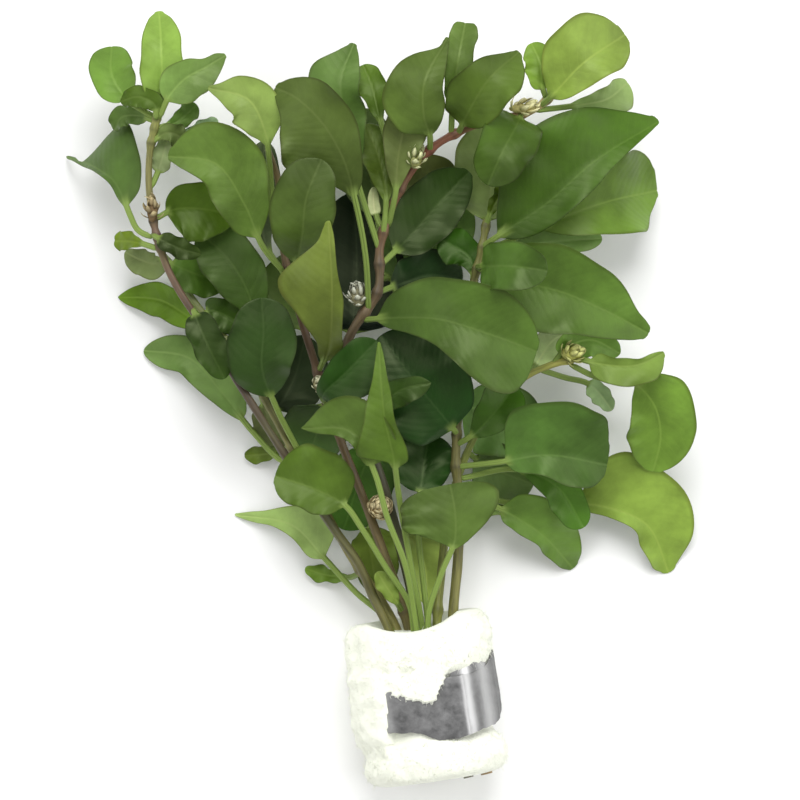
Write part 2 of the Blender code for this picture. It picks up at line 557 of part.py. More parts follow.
leaf("leaf_low_centre", "stem_right", [(13.35, -63.25, 21.0), (12.25, -55.75, 22), (15.75, -43.25, 25),
                                       (19, -34.75, 27), (19, -28.25, 28), (17.75, -21.25, 28)],
     ((8, 12.4, 14, 14.2, 13, 8), (1.5, 4, 8.6, 12, 10.6, 6.5)), green, start=0.629)

# Right side.
leaf("leaf_side_yellow", "stem_right_side", [(49.5, 10.2, 26), (55.25, 8.75, 29), (64, 8.4, 29),
                                             (71.25, 11.6, 26)],
     ((1.6, 2.2, 2.2, 1.6, 1.2, 0.6), (2.4, 4.2, 5.2, 5.6, 3.6, 1.2)), bright, start=0.16)
leaf("leaf_side_round", "stem_right_side", [(48, 8.5, 25), (55.25, 5.25, 24), (62.5, 4.8, 24),
                                            (68.6, -1, 22), (70.6, -9, 18), (68.8, -18.25, 14)],
     ((7.4, 10.2, 10, 8, 5, 2.4), (3, 5.5, 8.4, 8.4, 6.2, 2.8)), green, start=0.4)
leaf("leaf_low_right_bright", "stem_right", [(20, -22, 18), (32, -26, 9), (45.25, -26, 9),
                                             (56.5, -27, 10), (66.6, -31, 8), (73.2, -43.8, 0)],
     ((8.5, 14.6, 14.0, 10.6, 5.8, 2.2), (1.5, 2, 3, 4.4, 4.0, 1.7)), bright, start=0.5, fold=(0, 8), bend=(2, 18))
leaf("leaf_side_dark", "stem_right", [(19.5, -17, 19.5), (30.25, -15.75, 25), (41.5, -14, 29),
                                      (57, -16.5, 25)],
     ((8, 12.4, 14.2, 13.6, 11.5, 5.5), (2.5, 4, 6, 7.5, 6.5, 3.5)), dark, start=0.34)
leaf("leaf_side_under", "stem_right", [(20, -20, 18), (35.25, -17.75, 19), (44, -21.5, 18),
                                       (51.5, -32.25, 14)],
     (4.5, 5), dark, start=0.4)
leaf("leaf_low_right", "stem_right", [(20.25, -24, 18), (29.75, -27.25, 13), (39.5, -33, 11),
                                      (49, -42.75, 0)],
     ((5.5, 8.0, 8.6, 7, 4.5, 2), (2.2, 3, 3.2, 3, 2.4, 1.2)), green, start=0.3)

# Small leaves that are one with their stems.
leaf("leaflet_left_olive", "stem_left", [(-55.2, 37.5, 25), (-59.75, 39, 24), (-66.25, 39.75, 18)],
     (2.6, 2.6), dark, start=0.3, joined=True)
leaf("leaflet_left_a", "stem_left", [(-56, 67.5, 28), (-51, 69, 27.5), (-45.5, 73.5, 26)],
     (2.8, 2.8), dark, start=0.25, joined=True)
leaf("leaflet_left_b", "stem_left", [(-56.6, 65.5, 27.5), (-49, 66, 25.5), (-40.25, 69.75, 23)],
     (2.0, 2.0), green, start=0.4, joined=True)
leaf("leaflet_left_c", "stem_left", [(-57, 64, 27), (-52.5, 66.5, 29), (-48.5, 65, 28)],
     (2.8, 2.8), dark, start=0.25, joined=True)
leaf("leaflet_low_left", "stem_left_lower", [(-22.5, -12.2, 15), (-24, -12.6, 8), (-28, -13.8, 3.5),
                                             (-34, -14.25, 1.5)],
     (2.2, 2.2), green, start=0.4, joined=True)
leaf("leaflet_low", "stem_left_lower", [(-4.5, -43.5, 12.5), (-8, -45, 5.5), (-12.5, -44.6, 2.5),
                                        (-18.75, -42.8, 2)],
     (2.1, 2.1), green, start=0.4, joined=True)
leaf("leaflet_low_upright", "stem_middle", [(6, -53.5, 14), (3.8, -50, 19.5), (-0.5, -43.25, 20.8)],
     (2.6, 2.6), bright, start=0.35, joined=True)
leaf("leaflet_corner", "stem_tall", [(42, 74.5, 30), (40.7, 78, 33), (40.25, 83.5, 33), (38, 88.75, 31)],
     (4, 4), bright, start=0.25, belly=(0.5, 0.5), joined=True)
leaf("flower_slim", "stem_tall", [(1.2, 42, 27.2), (-0.2, 44.5, 26.2), (-1.2, 48, 26), (-1.4, 53, 26.5)],
     (1.5, 1.5), cream, start=0.4, belly=(0.5, 0.5), joined=True)
leaf("leaflet_right_curl", "stem_right", [(25, 35, 26), (38, 38.6, 21.5), (48, 39.8, 19), (56, 40.2, 16)],
     (5, 3.6), pale, start=0.25, belly=(0.45, 0.6), joined=True)

leaf("leaflet_right_inner", "stem_right", [(26.5, 43, 27), (28.5, 48, 29), (31.5, 53.5, 30)],
     (2.0, 2.0), green, start=0.3, joined=True)

# Young leaves low in the bunch, one with their stems.
leaf("leaflet_gap_upper", "stem_tall", [(-7.2, 15.8, 25.5), (-6.6, 18.5, 13), (-5.6, 34, 9),
                                        (-6.5, 52, 9)],
     (8.5, 8.5), dark, start=0.15, belly=(0.45, 0.4), joined=True)
leaf("leaflet_gap_crown", "stem_tall", [(0.3, 40, 27.3), (-0.6, 47, 17), (-2.4, 58, 14), (-3.5, 73, 15)],
     (6.5, 6.5), dark, start=0.3, belly=(0.5, 0.5), joined=True)
leaf("leaflet_gap_right", "stem_tall", [(-0.1, 30, 26.9), (4, 31.5, 13), (12, 39, 8), (22, 50, 8)],
     (9.5, 8.5), dark, start=0.24, belly=(0.5, 0.5), joined=True)
leaf("leaflet_gap_shoot", "stem_right", [(26.6, 42.5, 27), (27.5, 48, 14), (29, 60, 10), (31, 72, 9)],
     (8.5, 7), dark, start=0.2, belly=(0.5, 0.5), joined=True)
leaf("leaflet_left_over", "stem_left", [(-46.5, 22.5, 25), (-45.5, 20, 29), (-42.5, 13, 30.5),
                                        (-38.5, 5, 29)],
     (4.8, 4.2), dark, start=0.15, belly=(0.5, 0.5), joined=True)
leaf("leaflet_left_side", "stem_left", [(-56.6, 41, 25), (-54, 39.6, 28), (-49.5, 37.5, 28),
                                        (-44.5, 36.2, 26.5)],
     (2.6, 2.6), green, start=0.2, belly=(0.5, 0.5), joined=True)
leaf("leaflet_gap_low", "stem_left_lower", [(-27.2, -2.9, 16), (-25, -1.5, 8), (-21.5, 5, 5),
                                            (-18.5, 16, 5)],
     (5.5, 5.5), dark, start=0.2, belly=(0.5, 0.5), joined=True)
leaf("leaflet_gap_middle", "stem_tall", [(-2.5, -10.5, 22.2), (-3, -15, 10), (-5.5, -22, 6),
                                         (-9, -33, 5)],
     (6.5, 5), dark, start=0.2, belly=(0.5, 0.5), joined=True)
leaf("leaflet_foot_left", "stem_middle", [(-1.6, -31.2, 17.8), (-2.6, -34, 9), (-1.6, -42, 5),
                                          (0.5, -51, 4.5)],
     (7.5, 4.6), dark, start=0.15, belly=(0.4, 0.5), joined=True)
leaf("leaflet_foot_right", "stem_tall", [(4.2, -34.5, 18.7), (8.5, -35.5, 9), (11.5, -42, 5),
                                         (12, -52, 4.5)],
     (6, 4.2), dark, start=0.15, belly=(0.45, 0.45), joined=True)
leaf("leaflet_gap_side", "stem_right", [(19.9, -2, 22.3), (25, -2.5, 12), (32, -5, 8), (41, -9.5, 6)],
     (7.5, 9), dark, start=0.1, belly=(0.5, 0.45), joined=True)
leaf("leaflet_side_upper", "stem_right_side", [(43.5, 8.7, 25.3), (47, 12.8, 25.5), (52, 14.8, 24.5),
                                               (60.5, 11.5, 21)],
     (4.0, 4.4), green, start=0.15, belly=(0.45, 0.45), joined=True)
leaf("leaflet_side_small", "stem_right_side", [(40.2, 7.4, 24), (46.5, 5.4, 19), (53, 3.6, 15.5),
                                               (58.6, -2.8, 14)],
     (2.6, 2.8), dark, start=0.62, belly=(0.5, 0.5), joined=True)
leaf("leaflet_left_d", "stem_left", [(-56.9, 53, 25.4), (-55.2, 57, 24.6), (-53.7, 62, 24.5),
                                     (-52.6, 66, 24)],
     (2.6, 2.6), dark, start=0.3, belly=(0.5, 0.5), joined=True)
leaf("leaflet_left_low", "stem_left_lower", [(-53.6, 35.6, 13), (-56, 34, 12), (-59.5, 34.8, 10.5),
                                             (-64, 37, 8.5)],
     (4.2, 2.6), green, start=0.1, belly=(0.35, 0.5), joined=True)
leaf("leaflet_left_fill", "stem_left_lower", [(-43.8, 21.4, 14.3), (-42, 22.2, 15.8), (-38.5, 21, 15.8),
                                              (-34.2, 18.5, 15)],
     (4.2, 4.8), dark, start=0.1, belly=(0.5, 0.5), joined=True)
leaf("leaflet_gap_yellow", "stem_middle", [(-18, 15.4, 25.5), (-20, 20, 17), (-21.5, 27, 13),
                                           (-21.5, 37, 12)],
     (6, 6), dark, start=0.2, belly=(0.5, 0.5), joined=True)
leaf("leaflet_gap_stems", "stem_left_lower", [(-29.6, 1.2, 16), (-28.2, -4.5, 8.5), (-26.8, -9.5, 4.5),
                                              (-24.5, -14, 4)],
     (2.6, 3.6), dark, start=0.2, belly=(0.5, 0.5), joined=True)
leaf("leaflet_gap_left", "stem_middle", [(-13.4, -0.8, 22.4), (-14.4, -3.5, 12), (-16, -9.5, 7),
                                         (-18.5, -16, 5.5)],
     (6.5, 7.5), dark, start=0.15, belly=(0.5, 0.5), joined=True)
leaf("leaflet_gap_under", "stem_right_side", [(22.4, -13.6, 15.2), (26, -16, 9), (31, -18.5, 6.5),
                                              (39, -21.5, 5.5)],
     (6, 7.5), dark, start=0.2, belly=(0.5, 0.5), joined=True)
leaf("leaflet_left_hook", "stem_left", [(-55.8, 69.3, 28.5), (-60, 70.8, 25), (-64.2, 70.6, 23),
                                        (-66.4, 67.2, 20)],
     (2.4, 3.0), dark, start=0.2, belly=(0.5, 0.5), joined=True)
leaf("leaflet_gap_tall", "stem_tall", [(5.4, 52.3, 29), (6, 51.5, 19), (10.5, 54, 12), (19, 58.5, 10)],
     (6.5, 6), dark, start=0.15, belly=(0.5, 0.5), joined=True)
leaf("leaflet_side_back", "stem_right_side", [(38.2, 6.5, 23.2), (40.5, 10.5, 17), (44, 15, 14),
                                              (52, 17.5, 12)],
     (4.5, 5), dark, start=0.15, belly=(0.5, 0.5), joined=True)
leaf("leaflet_low_back", "stem_right", [(20.1, -26, 18.1), (24, -25, 9), (29.5, -24.5, 5),
                                        (38, -25.5, 4)],
     (4, 5), dark, start=0.2, belly=(0.5, 0.5), joined=True)

# Flower heads in the leaf axils.
flower_head("flower_left_shoot", "stem_left", (-56.2, 47, 25.5), (2.0, 3.2, 1.8), cream)
flower_head("flower_crown", "stem_tall", (9.2, 60.5, 32.2), (2.5, 4.0, 2.4), cream)
flower_head("flower_middle", "stem_tall", (-4.9, 25.4, 26.6), (3.0, 3.6, 2.2), cream)
flower_head("flower_inner", "stem_middle", (-15.2, 3.6, 25), (1.9, 2.4, 1.8), cream)
flower_head("flower_low", "stem_tall", (0.3, -26.8, 21.6), (3.0, 3.2, 2.6), cream)
flower_head("flower_corner", "stem_tall", (36.5, 72.6, 31), (3.2, 1.8, 1.8), cream)
flower_head("flower_side", "stem_right_side", (47.8, 11.2, 27), (2.4, 1.9, 1.8), cream)
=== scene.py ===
import math

import bmesh
import bpy
import numpy as np
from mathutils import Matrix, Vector, noise


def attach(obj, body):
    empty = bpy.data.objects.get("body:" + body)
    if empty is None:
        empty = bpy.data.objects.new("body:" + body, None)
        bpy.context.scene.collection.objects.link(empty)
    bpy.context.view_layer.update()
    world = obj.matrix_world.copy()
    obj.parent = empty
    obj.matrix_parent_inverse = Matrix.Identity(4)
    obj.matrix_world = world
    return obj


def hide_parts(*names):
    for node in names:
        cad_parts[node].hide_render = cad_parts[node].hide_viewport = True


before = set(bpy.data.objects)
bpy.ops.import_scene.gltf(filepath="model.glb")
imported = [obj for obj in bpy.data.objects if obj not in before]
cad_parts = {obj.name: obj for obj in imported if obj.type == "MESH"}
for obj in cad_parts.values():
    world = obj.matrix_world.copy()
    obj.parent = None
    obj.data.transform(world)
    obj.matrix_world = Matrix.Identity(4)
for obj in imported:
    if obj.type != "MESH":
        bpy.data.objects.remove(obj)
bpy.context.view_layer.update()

# The surface, the light and the camera.
# The bunch lies on a plain pale table top.  A large soft lamp stands behind the shoot tips and a weaker
# one at each side, and the camera looks straight down from two and a half metres.
TABLE_REACH = 1.5
TABLE_DROP = 0.0003


def wire(tree, node, inputs):
    """Set a node's inputs, or link those that are given the output of another node."""
    for socket, value in inputs.items():
        if isinstance(value, bpy.types.NodeSocket):
            tree.links.new(value, node.inputs[socket])
        else:
            node.inputs[socket].default_value = value
    return node


def new_finish(name, inputs):
    """A material with its shader's own values set, with its node tree and its shader."""
    material = bpy.data.materials.new(name)
    material.use_nodes = True
    tree = material.node_tree
    return material, tree, wire(tree, tree.nodes["Principled BSDF"], inputs)


table_white = new_finish("table_white", {"Base Color": (0.93, 0.93, 0.925, 1.0), "Roughness": 0.75,
                                         "Specular IOR Level": 0.2})[0]
table = bpy.data.meshes.new("table_top")
table.from_pydata([(x * TABLE_REACH, y * TABLE_REACH, -TABLE_DROP)
                   for x, y in ((-1, -1), (1, -1), (1, 1), (-1, 1))], [], [(0, 1, 2, 3)])
table.materials.append(table_white)
table_top = bpy.data.objects.new("table_top", table)
bpy.context.scene.collection.objects.link(table_top)

for name, place, size, power in (("back_lamp", (0.1, 1.1, 1.7), 1.1, 29.0),
                                 ("left_lamp", (-1.3, 0.1, 1.3), 1.2, 8.0),
                                 ("right_lamp", (1.4, 0.1, 1.2), 1.2, 11.0)):
    light = bpy.data.lights.new(name, 'AREA')
    light.shape = 'SQUARE'
    light.size = size
    light.energy = power
    lamp = bpy.data.objects.new(name, light)
    lamp.location = place
    lamp.rotation_euler = (-Vector(place)).to_track_quat('-Z', 'Y').to_euler()
    bpy.context.scene.collection.objects.link(lamp)

surroundings = bpy.data.worlds.new("pale_room")
surroundings.use_nodes = True
wire(surroundings.node_tree, surroundings.node_tree.nodes["Background"],
     {"Color": (1.0, 1.0, 1.0, 1.0), "Strength": 0.55})
bpy.context.scene.world = surroundings

# The picture is 200 mm wide at the height of the leaves, in metres like the camera's own height.
CAMERA_HEIGHT = 2.5
LEAF_HEIGHT = 0.025
SHOWN_WIDTH = 0.2
SENSOR_WIDTH = 36.0
camera = bpy.data.objects.new("camera", bpy.data.cameras.new("camera"))
camera.data.sensor_width = SENSOR_WIDTH
camera.data.lens = SENSOR_WIDTH * (CAMERA_HEIGHT - LEAF_HEIGHT) / SHOWN_WIDTH
camera.data.clip_end = 20.0
camera.location = (0.00501, -0.00015, CAMERA_HEIGHT)
bpy.context.scene.collection.objects.link(camera)
bpy.context.scene.camera = camera
bpy.context.scene.view_settings.view_transform = 'Standard'

# The wool.
# A pad of white mineral wool is rolled round the cut stem ends and squeezed by the lead strip, so that it
# bulges above and below the strip and its torn edge hangs over the strip's upper left.
# Pieces are given in millimetres on the plan, which is shifted by this much in the frame.
MM = 0.001
PLAN_SHIFT = Vector((-0.24, 0.1, 0.0))
WOOL_MOUTH = Vector((9.0, -55.25, 17.2))
WOOL_FOOT = Vector((14.9, -94.6, 17.2))
WOOL_AXIS = (WOOL_FOOT - WOOL_MOUTH).normalized()
WOOL_ACROSS = Vector((-WOOL_AXIS.y, WOOL_AXIS.x, 0.0))
WOOL_SIDES = 180
WOOL_RINGS = 150

# Along the roll from its mouth and outward from its axis, in millimetres: the mouth's dimple, the bulge
# above the strip, the waist under it, the bulge below it and the foot.
WOOL_PROFILE = ((3.0, 0.4), (2.2, 6.0), (0.6, 11.0), (-0.9, 14.4), (-0.3, 16.6), (2.2, 17.9), (6.0, 18.3),
                (10.5, 18.1), (13.6, 17.2), (15.3, 15.2), (22.0, 14.8), (29.9, 15.2), (31.5, 17.0),
                (34.2, 18.1), (37.0, 18.0), (39.6, 16.6), (40.6, 13.6), (40.0, 9.0), (39.2, 4.0), (39.0, 0.4))

# The torn cover lies over the strip between these places along the roll, this far from its axis, and is
# thicker on the left.
COVER_START = 9.0
COVER_END = 33.0
COVER_RADIUS = 17.7
COVER_LEFT_RISE = 1.4
# The mouth is scooped out on top: how deep, half its width, and how far down the roll the scoop fades.
SCOOP_DEPTH = 3.3
SCOOP_HALF_WIDTH = 11.5
SCOOP_FADE = 14.0
# Lumps of the wool: how high, how fine, and where they are taken from the noise.
WOOL_LUMPS = ((0.8, 0.11, 0.0), (0.5, 0.3, 7.0), (0.16, 0.8, 0.0), (0.09, 2.0, 0.0))
# Loose fibres stand off where the wool is at least this far from its axis, so none is under the strip.
LOOSE_FIBRES = 5200
FIBRES_FROM = 15.9
FIBRE_SEED = 4

# The torn edge over the strip: how far down the roll it reaches at each turn, in degrees from the right.
TORN_EDGE = ((46.0, 8.0), (52.0, 12.6), (54.4, 11.4), (58.0, 12.3), (63.5, 12.0), (69.0, 13.6), (73.6, 16.2),
             (78.0, 18.2), (81.5, 20.2), (86.3, 21.4), (97.0, 20.2), (108.0, 19.6), (117.0, 18.2),
             (122.0, 17.6), (126.0, 26.0), (134.0, 33.0), (235.0, 33.0), (250.0, 15.0), (300.0, 8.0))


def to_linear(colour):
    """Linear colour from one on a scale of 0 to 255."""
    return tuple((c / 255 / 12.92) if c < 11 else ((c / 255 + 0.055) / 1.055) ** 2.4 for c in colour)


def smooth_step(x, low, high):
    """0 below low, 1 above high and an S-shaped rise between them."""
    t = min(1.0, max(0.0, (x - low) / (high - low)))
    return t * t * (3 - 2 * t)


def new_piece(name, points, faces, material):
    """A shown piece made from points in millimetres on the plan."""
    mesh = bpy.data.meshes.new(name)
    flat = np.asarray(points, float) + np.asarray(PLAN_SHIFT)
    flat[:, 2] = np.maximum(flat[:, 2], 0.0)
    mesh.from_pydata((flat * MM).tolist(), [], faces)
    mesh.materials.append(material)
    mesh.shade_smooth()
    piece = bpy.data.objects.new(name, mesh)
    bpy.context.scene.collection.objects.link(piece)
    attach(piece, "root")
    return piece


def loft_faces(rings, sides):
    """Quads between closed rings of points, with a flat cap at each end."""
    faces = []
    for i in range(rings - 1):
        for k in range(sides):
            after = (k + 1) % sides
            faces.append((i * sides + k, i * sides + after, (i + 1) * sides + after, (i + 1) * sides + k))
    faces.append(tuple(reversed(range(sides))))
    faces.append(tuple(range((rings - 1) * sides, rings * sides)))
    return faces


def wool_place(along, turn, radius):
    """The point of the roll at a distance along it, a turn round it and a distance from its axis."""
    return (WOOL_MOUTH + WOOL_AXIS * along + WOOL_ACROSS * (math.cos(turn) * radius)
            + Vector((0, 0, 1)) * (math.sin(turn) * radius))


def torn_reach(turn):
    """How far down the roll the torn edge reaches at a turn round it."""
    degrees = math.degrees(turn) % 360
    turns = [row[0] for row in TORN_EDGE]
    return float(np.interp(degrees, turns, [row[1] for row in TORN_EDGE]))


def wool_points():
    """Rings of points down the roll, with its cover, its scooped mouth, its lumps and its flat underside."""
    profile = np.array(WOOL_PROFILE)
    steps = np.concatenate([[0], np.cumsum(np.hypot(*np.diff(profile, axis=0).T))])
    fine = np.linspace(0, steps[-1], WOOL_RINGS)
    along_all = np.interp(fine, steps, profile[:, 0])
    radius_all = np.interp(fine, steps, profile[:, 1])
    soft = np.array([0.06, 0.12, 0.2, 0.24, 0.2, 0.12, 0.06])
    pad = len(soft) // 2
    along_all[pad:-pad] = np.convolve(along_all, soft, 'valid')
    radius_all[pad:-pad] = np.convolve(radius_all, soft, 'valid')
    points = []
    for along, radius in zip(along_all, radius_all):
        for k in range(WOOL_SIDES):
            turn = 2 * math.pi * k / WOOL_SIDES
            spot = Vector((math.cos(turn) * 18, math.sin(turn) * 18, along))
            ragged = 1.1 * noise.noise(spot * 0.9) + 0.7 * noise.noise(spot * 2.3)
            out = radius
            if COVER_START < along < COVER_END:
                torn = torn_reach(turn) + ragged
                cover = 1 - smooth_step(along, torn - 0.5, torn + 0.5)
                cover *= smooth_step(along, COVER_START, COVER_START + 4)
                raised = smooth_step(math.degrees(turn), 120, 134) * (1 - smooth_step(along, 27, COVER_END))
                fallen = COVER_RADIUS + COVER_LEFT_RISE * raised + 0.5 * noise.noise(spot * 0.35)
                out = max(out, out + (fallen - out) * cover)
            body = smooth_step(radius, 2.0, 13.0)
            lumps = sum(high * noise.noise(spot * fineness + Vector((shift, 0, 0)))
                        for high, fineness, shift in WOOL_LUMPS)
            if radius < 15.6 and 13.0 < along < 31.0 and out < 16.2:
                lumps *= 0.25
            height = math.sin(turn) * out
            across = math.cos(turn) * out
            scoop = SCOOP_DEPTH * smooth_step(height, -2.0, 4.0)
            scoop *= max(0.0, 1 - ((across + 0.5) / SCOOP_HALF_WIDTH) ** 2)
            scoop *= 1 - smooth_step(along, 2.0, SCOOP_FADE)
            point = wool_place(along + scoop, turn, out + lumps * body)
            point.z = max(point.z, 0.02 + 0.1 * abs(noise.noise(spot * 0.5)))
            points.append(point)
    return points


def spike_faces(start, rings, sides):
    """Faces of a spike whose rings of points begin at start and whose tip follows them."""
    faces = []
    for first in range(start, start + rings * sides, sides):
        for k in range(sides):
            after = (k + 1) % sides
            if first < start + (rings - 1) * sides:
                faces.append((first + k, first + after, first + sides + after, first + sides + k))
            else:
                faces.append((first + k, first + after, first + sides))
    faces.append(tuple(reversed(range(start, start + sides))))
    return faces


def add_fibres(points, faces, count, seed):
    """Loose ends of fibre that stand off the wool, each a thin three-sided needle that is one with it."""
    rng = np.random.default_rng(seed)
    surface = len(points)
    for index in rng.integers(WOOL_SIDES * 12, surface - WOOL_SIDES * 12, count):
        foot = points[index]
        axis_point = WOOL_MOUTH + WOOL_AXIS * (foot - WOOL_MOUTH).dot(WOOL_AXIS)
        out = (foot - axis_point).normalized()
        if foot.z < 1.0 or (foot - axis_point).length < FIBRES_FROM:
            continue
        lean = Vector(rng.normal(0, 1, 3))
        lean = (lean - out * lean.dot(out)).normalized()
        length = float(rng.uniform(0.5, 1.5))
        side = out.cross(lean).normalized()
        start = len(points)
        for share, wide in ((0.0, 0.055), (0.55, 0.04)):
            middle = foot + (out * (0.55 * share) + lean * (share * share * 1.1 + share * 0.35)) * length
            for k in range(3):
                turn = 2 * math.pi * k / 3
                points.append(middle + (side * math.cos(turn) + out * math.sin(turn)) * wide)
        points.append(foot + (out * 0.62 + lean * 1.35) * length)
        faces += spike_faces(start, 2, 3)


def add_node(tree, kind, inputs, **settings):
    """A shader node with its settings and its inputs."""
    node = tree.nodes.new("ShaderNode" + kind)
    for setting, value in settings.items():
        setattr(node, setting, value)
    return wire(tree, node, inputs)


def grain_pattern():
    """Uneven grain of a natural surface: its strength from 0 to 1, and a shade from darkest to palest."""
    group = bpy.data.node_groups.new("grain", 'ShaderNodeTree')
    group.interface.new_socket("Place", in_out='INPUT', socket_type='NodeSocketVector')
    for label in ("Scale", "Detail", "Breakup", "Twist", "Darkest", "Palest"):
        group.interface.new_socket(label, in_out='INPUT', socket_type='NodeSocketFloat')
    for label in ("Grain", "Shade"):
        group.interface.new_socket(label, in_out='OUTPUT', socket_type='NodeSocketFloat')
    given = group.nodes.new("NodeGroupInput").outputs
    speckle = add_node(group, "TexNoise", {"Vector": given["Place"], "Scale": given["Scale"],
                                           "Detail": given["Detail"], "Roughness": given["Breakup"],
                                           "Distortion": given["Twist"]}).outputs["Fac"]
    shade = add_node(group, "MapRange", {"Value": speckle, "From Min": 0.3, "From Max": 0.7,
                                         "To Min": given["Darkest"], "To Max": given["Palest"]})
    wire(group, group.nodes.new("NodeGroupOutput"), {"Grain": speckle, "Shade": shade.outputs["Result"]})
    return group


grain = grain_pattern()


def add_grain(tree, place, scale, detail, breakup=0.5, twist=0.0, darkest=0.0, palest=1.0):
    """The grain placed in a material or a group, with values of its own."""
    return add_node(tree, "Group", {"Place": place, "Scale": scale, "Detail": detail, "Breakup": breakup,
                                    "Twist": twist, "Darkest": darkest, "Palest": palest},
                    node_tree=grain).outputs


def own_place(tree):
    """The place on the piece itself, so that grain keeps to it."""
    return add_node(tree, "TexCoord", {}).outputs["Object"]


def toned(tree, amount, low, dark, high, pale):
    """A colour that runs from dark at a low amount to pale at a high one."""
    ramp = add_node(tree, "ValToRGB", {"Fac": amount})
    for stop, position, colour in zip(ramp.color_ramp.elements, (low, high), (dark, pale)):
        stop.position = position
        stop.color = (*colour, 1.0)
    return ramp.outputs["Color"]


def bumped(tree, height, strength, distance):
    """A surface that looks raised where height is large."""
    bump = add_node(tree, "Bump", {"Height": height, "Strength": strength, "Distance": distance})
    return bump.outputs["Normal"]


wool_white, tree, wool_shader = new_finish("wool_white", {"Roughness": 0.95, "Specular IOR Level": 0.15,
                                                          "Sheen Weight": 0.15, "Sheen Roughness": 0.6})
clumps = add_grain(tree, own_place(tree), 260.0, 6.0, breakup=0.65)["Grain"]
strands = add_grain(tree, own_place(tree), 1400.0, 4.0, twist=1.5)["Grain"]
wire(tree, wool_shader, {"Base Color": toned(tree, clumps, 0.3, (0.85, 0.87, 0.75), 0.6, (0.93, 0.95, 0.83)),
                         "Normal": bumped(tree, strands, 0.5, 0.0004)})

wool_body = wool_points()
wool_faces = loft_faces(WOOL_RINGS, WOOL_SIDES)
add_fibres(wool_body, wool_faces, LOOSE_FIBRES, FIBRE_SEED)
wool = new_piece("wool_roll", wool_body, wool_faces, wool_white)
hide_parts("wool_wrap")

# The lead strip.
# A soft flat strip of lead is wound a little more than once round the wool and pressed by hand, so that it
# is flat on top, creased where it turns down on the right, and its free end stands off there.
STRIP_THICKNESS = 0.6
STRIP_ROWS = 12
# Dents: how deep, how fine along the strip and across it, and where they are taken from the noise.
STRIP_DENTS = ((0.22, 0.45, 0.12, 3.0), (0.10, 1.3, 0.5, 9.0))
# Bands of painted highlight where the lead would reflect the lamps: across from the axis, half the width
# of the band, and how much.
PAINTED_SHINE_BANDS = ((10.3, 1.1, 1.0), (14.6, 1.5, 0.5), (-10.6, 1.3, 0.4))

# Across and up from the wool's axis, from the inner end once round to the free end; the crease is sharp.
STRIP_ROUTE_INNER = ((6.6, 14.7), (10.4, 13.6), (13.6, 10.4), (15.9, 5.6), (16.4, 0.0), (15.2, -6.5),
                     (11.0, -12.4), (4.5, -15.9), (-4.0, -16.0), (-11.0, -12.6), (-15.4, -6.5), (-16.5, 0.0),
                     (-15.4, 6.6), (-12.9, 11.6), (-9.6, 14.9), (-4.0, 15.9), (3.0, 16.2), (9.3, 16.0))
STRIP_ROUTE_OUTER = ((9.3, 16.0), (12.3, 12.8), (14.8, 8.6), (16.9, 4.4), (18.0, 1.6))
# Share of the strip's length, and where its two edges are along the roll there.
STRIP_EDGES = ((0.0, 11.2, 26.0), (0.03, 11.0, 26.0), (0.12, 13.6, 27.6), (0.3, 15.4, 29.6),
               (0.55, 15.6, 29.6), (0.70, 15.4, 26.8), (0.765, 15.2, 27.8), (0.80, 15.2, 30.4),
               (0.84, 15.2, 30.6), (0.895, 15.0, 29.4), (0.93, 14.6, 29.0), (0.96, 13.6, 28.6),
               (0.985, 11.4, 27.6), (1.0, 10.4, 25.4))


def between_ends(t, start, end, leave, arrive):
    """The place at t on a curve with these two ends and these slopes at them."""
    return ((2 * t**3 - 3 * t**2 + 1) * start + (t**3 - 2 * t**2 + t) * leave
            + (3 * t**2 - 2 * t**3) * end + (t**3 - t**2) * arrive)


def smooth_route(points, per_span=12):
    """Many points along a smooth curve through the given ones."""
    knots = [Vector(point) for point in points]
    knots = [2 * knots[0] - knots[1]] + knots + [2 * knots[-1] - knots[-2]]
    route = []
    for before, start, end, after in zip(knots, knots[1:], knots[2:], knots[3:]):
        span = (end - start).length
        back = max((start - before).length, 1e-6)
        ahead = max((after - end).length, 1e-6)
        leave = ((end - start) / span * back + (start - before) / back * span) / (back + span) * span
        arrive = ((after - end) / ahead * span + (end - start) / span * ahead) / (ahead + span) * span
        route += [between_ends(k / per_span, start, end, leave, arrive) for k in range(per_span)]
    route.append(knots[-2])
    return route


def lengths_along(route):
    """The length of a route up to each of its points."""
    lengths = [0.0]
    for start, end in zip(route, route[1:]):
        lengths.append(lengths[-1] + (end - start).length)
    return lengths


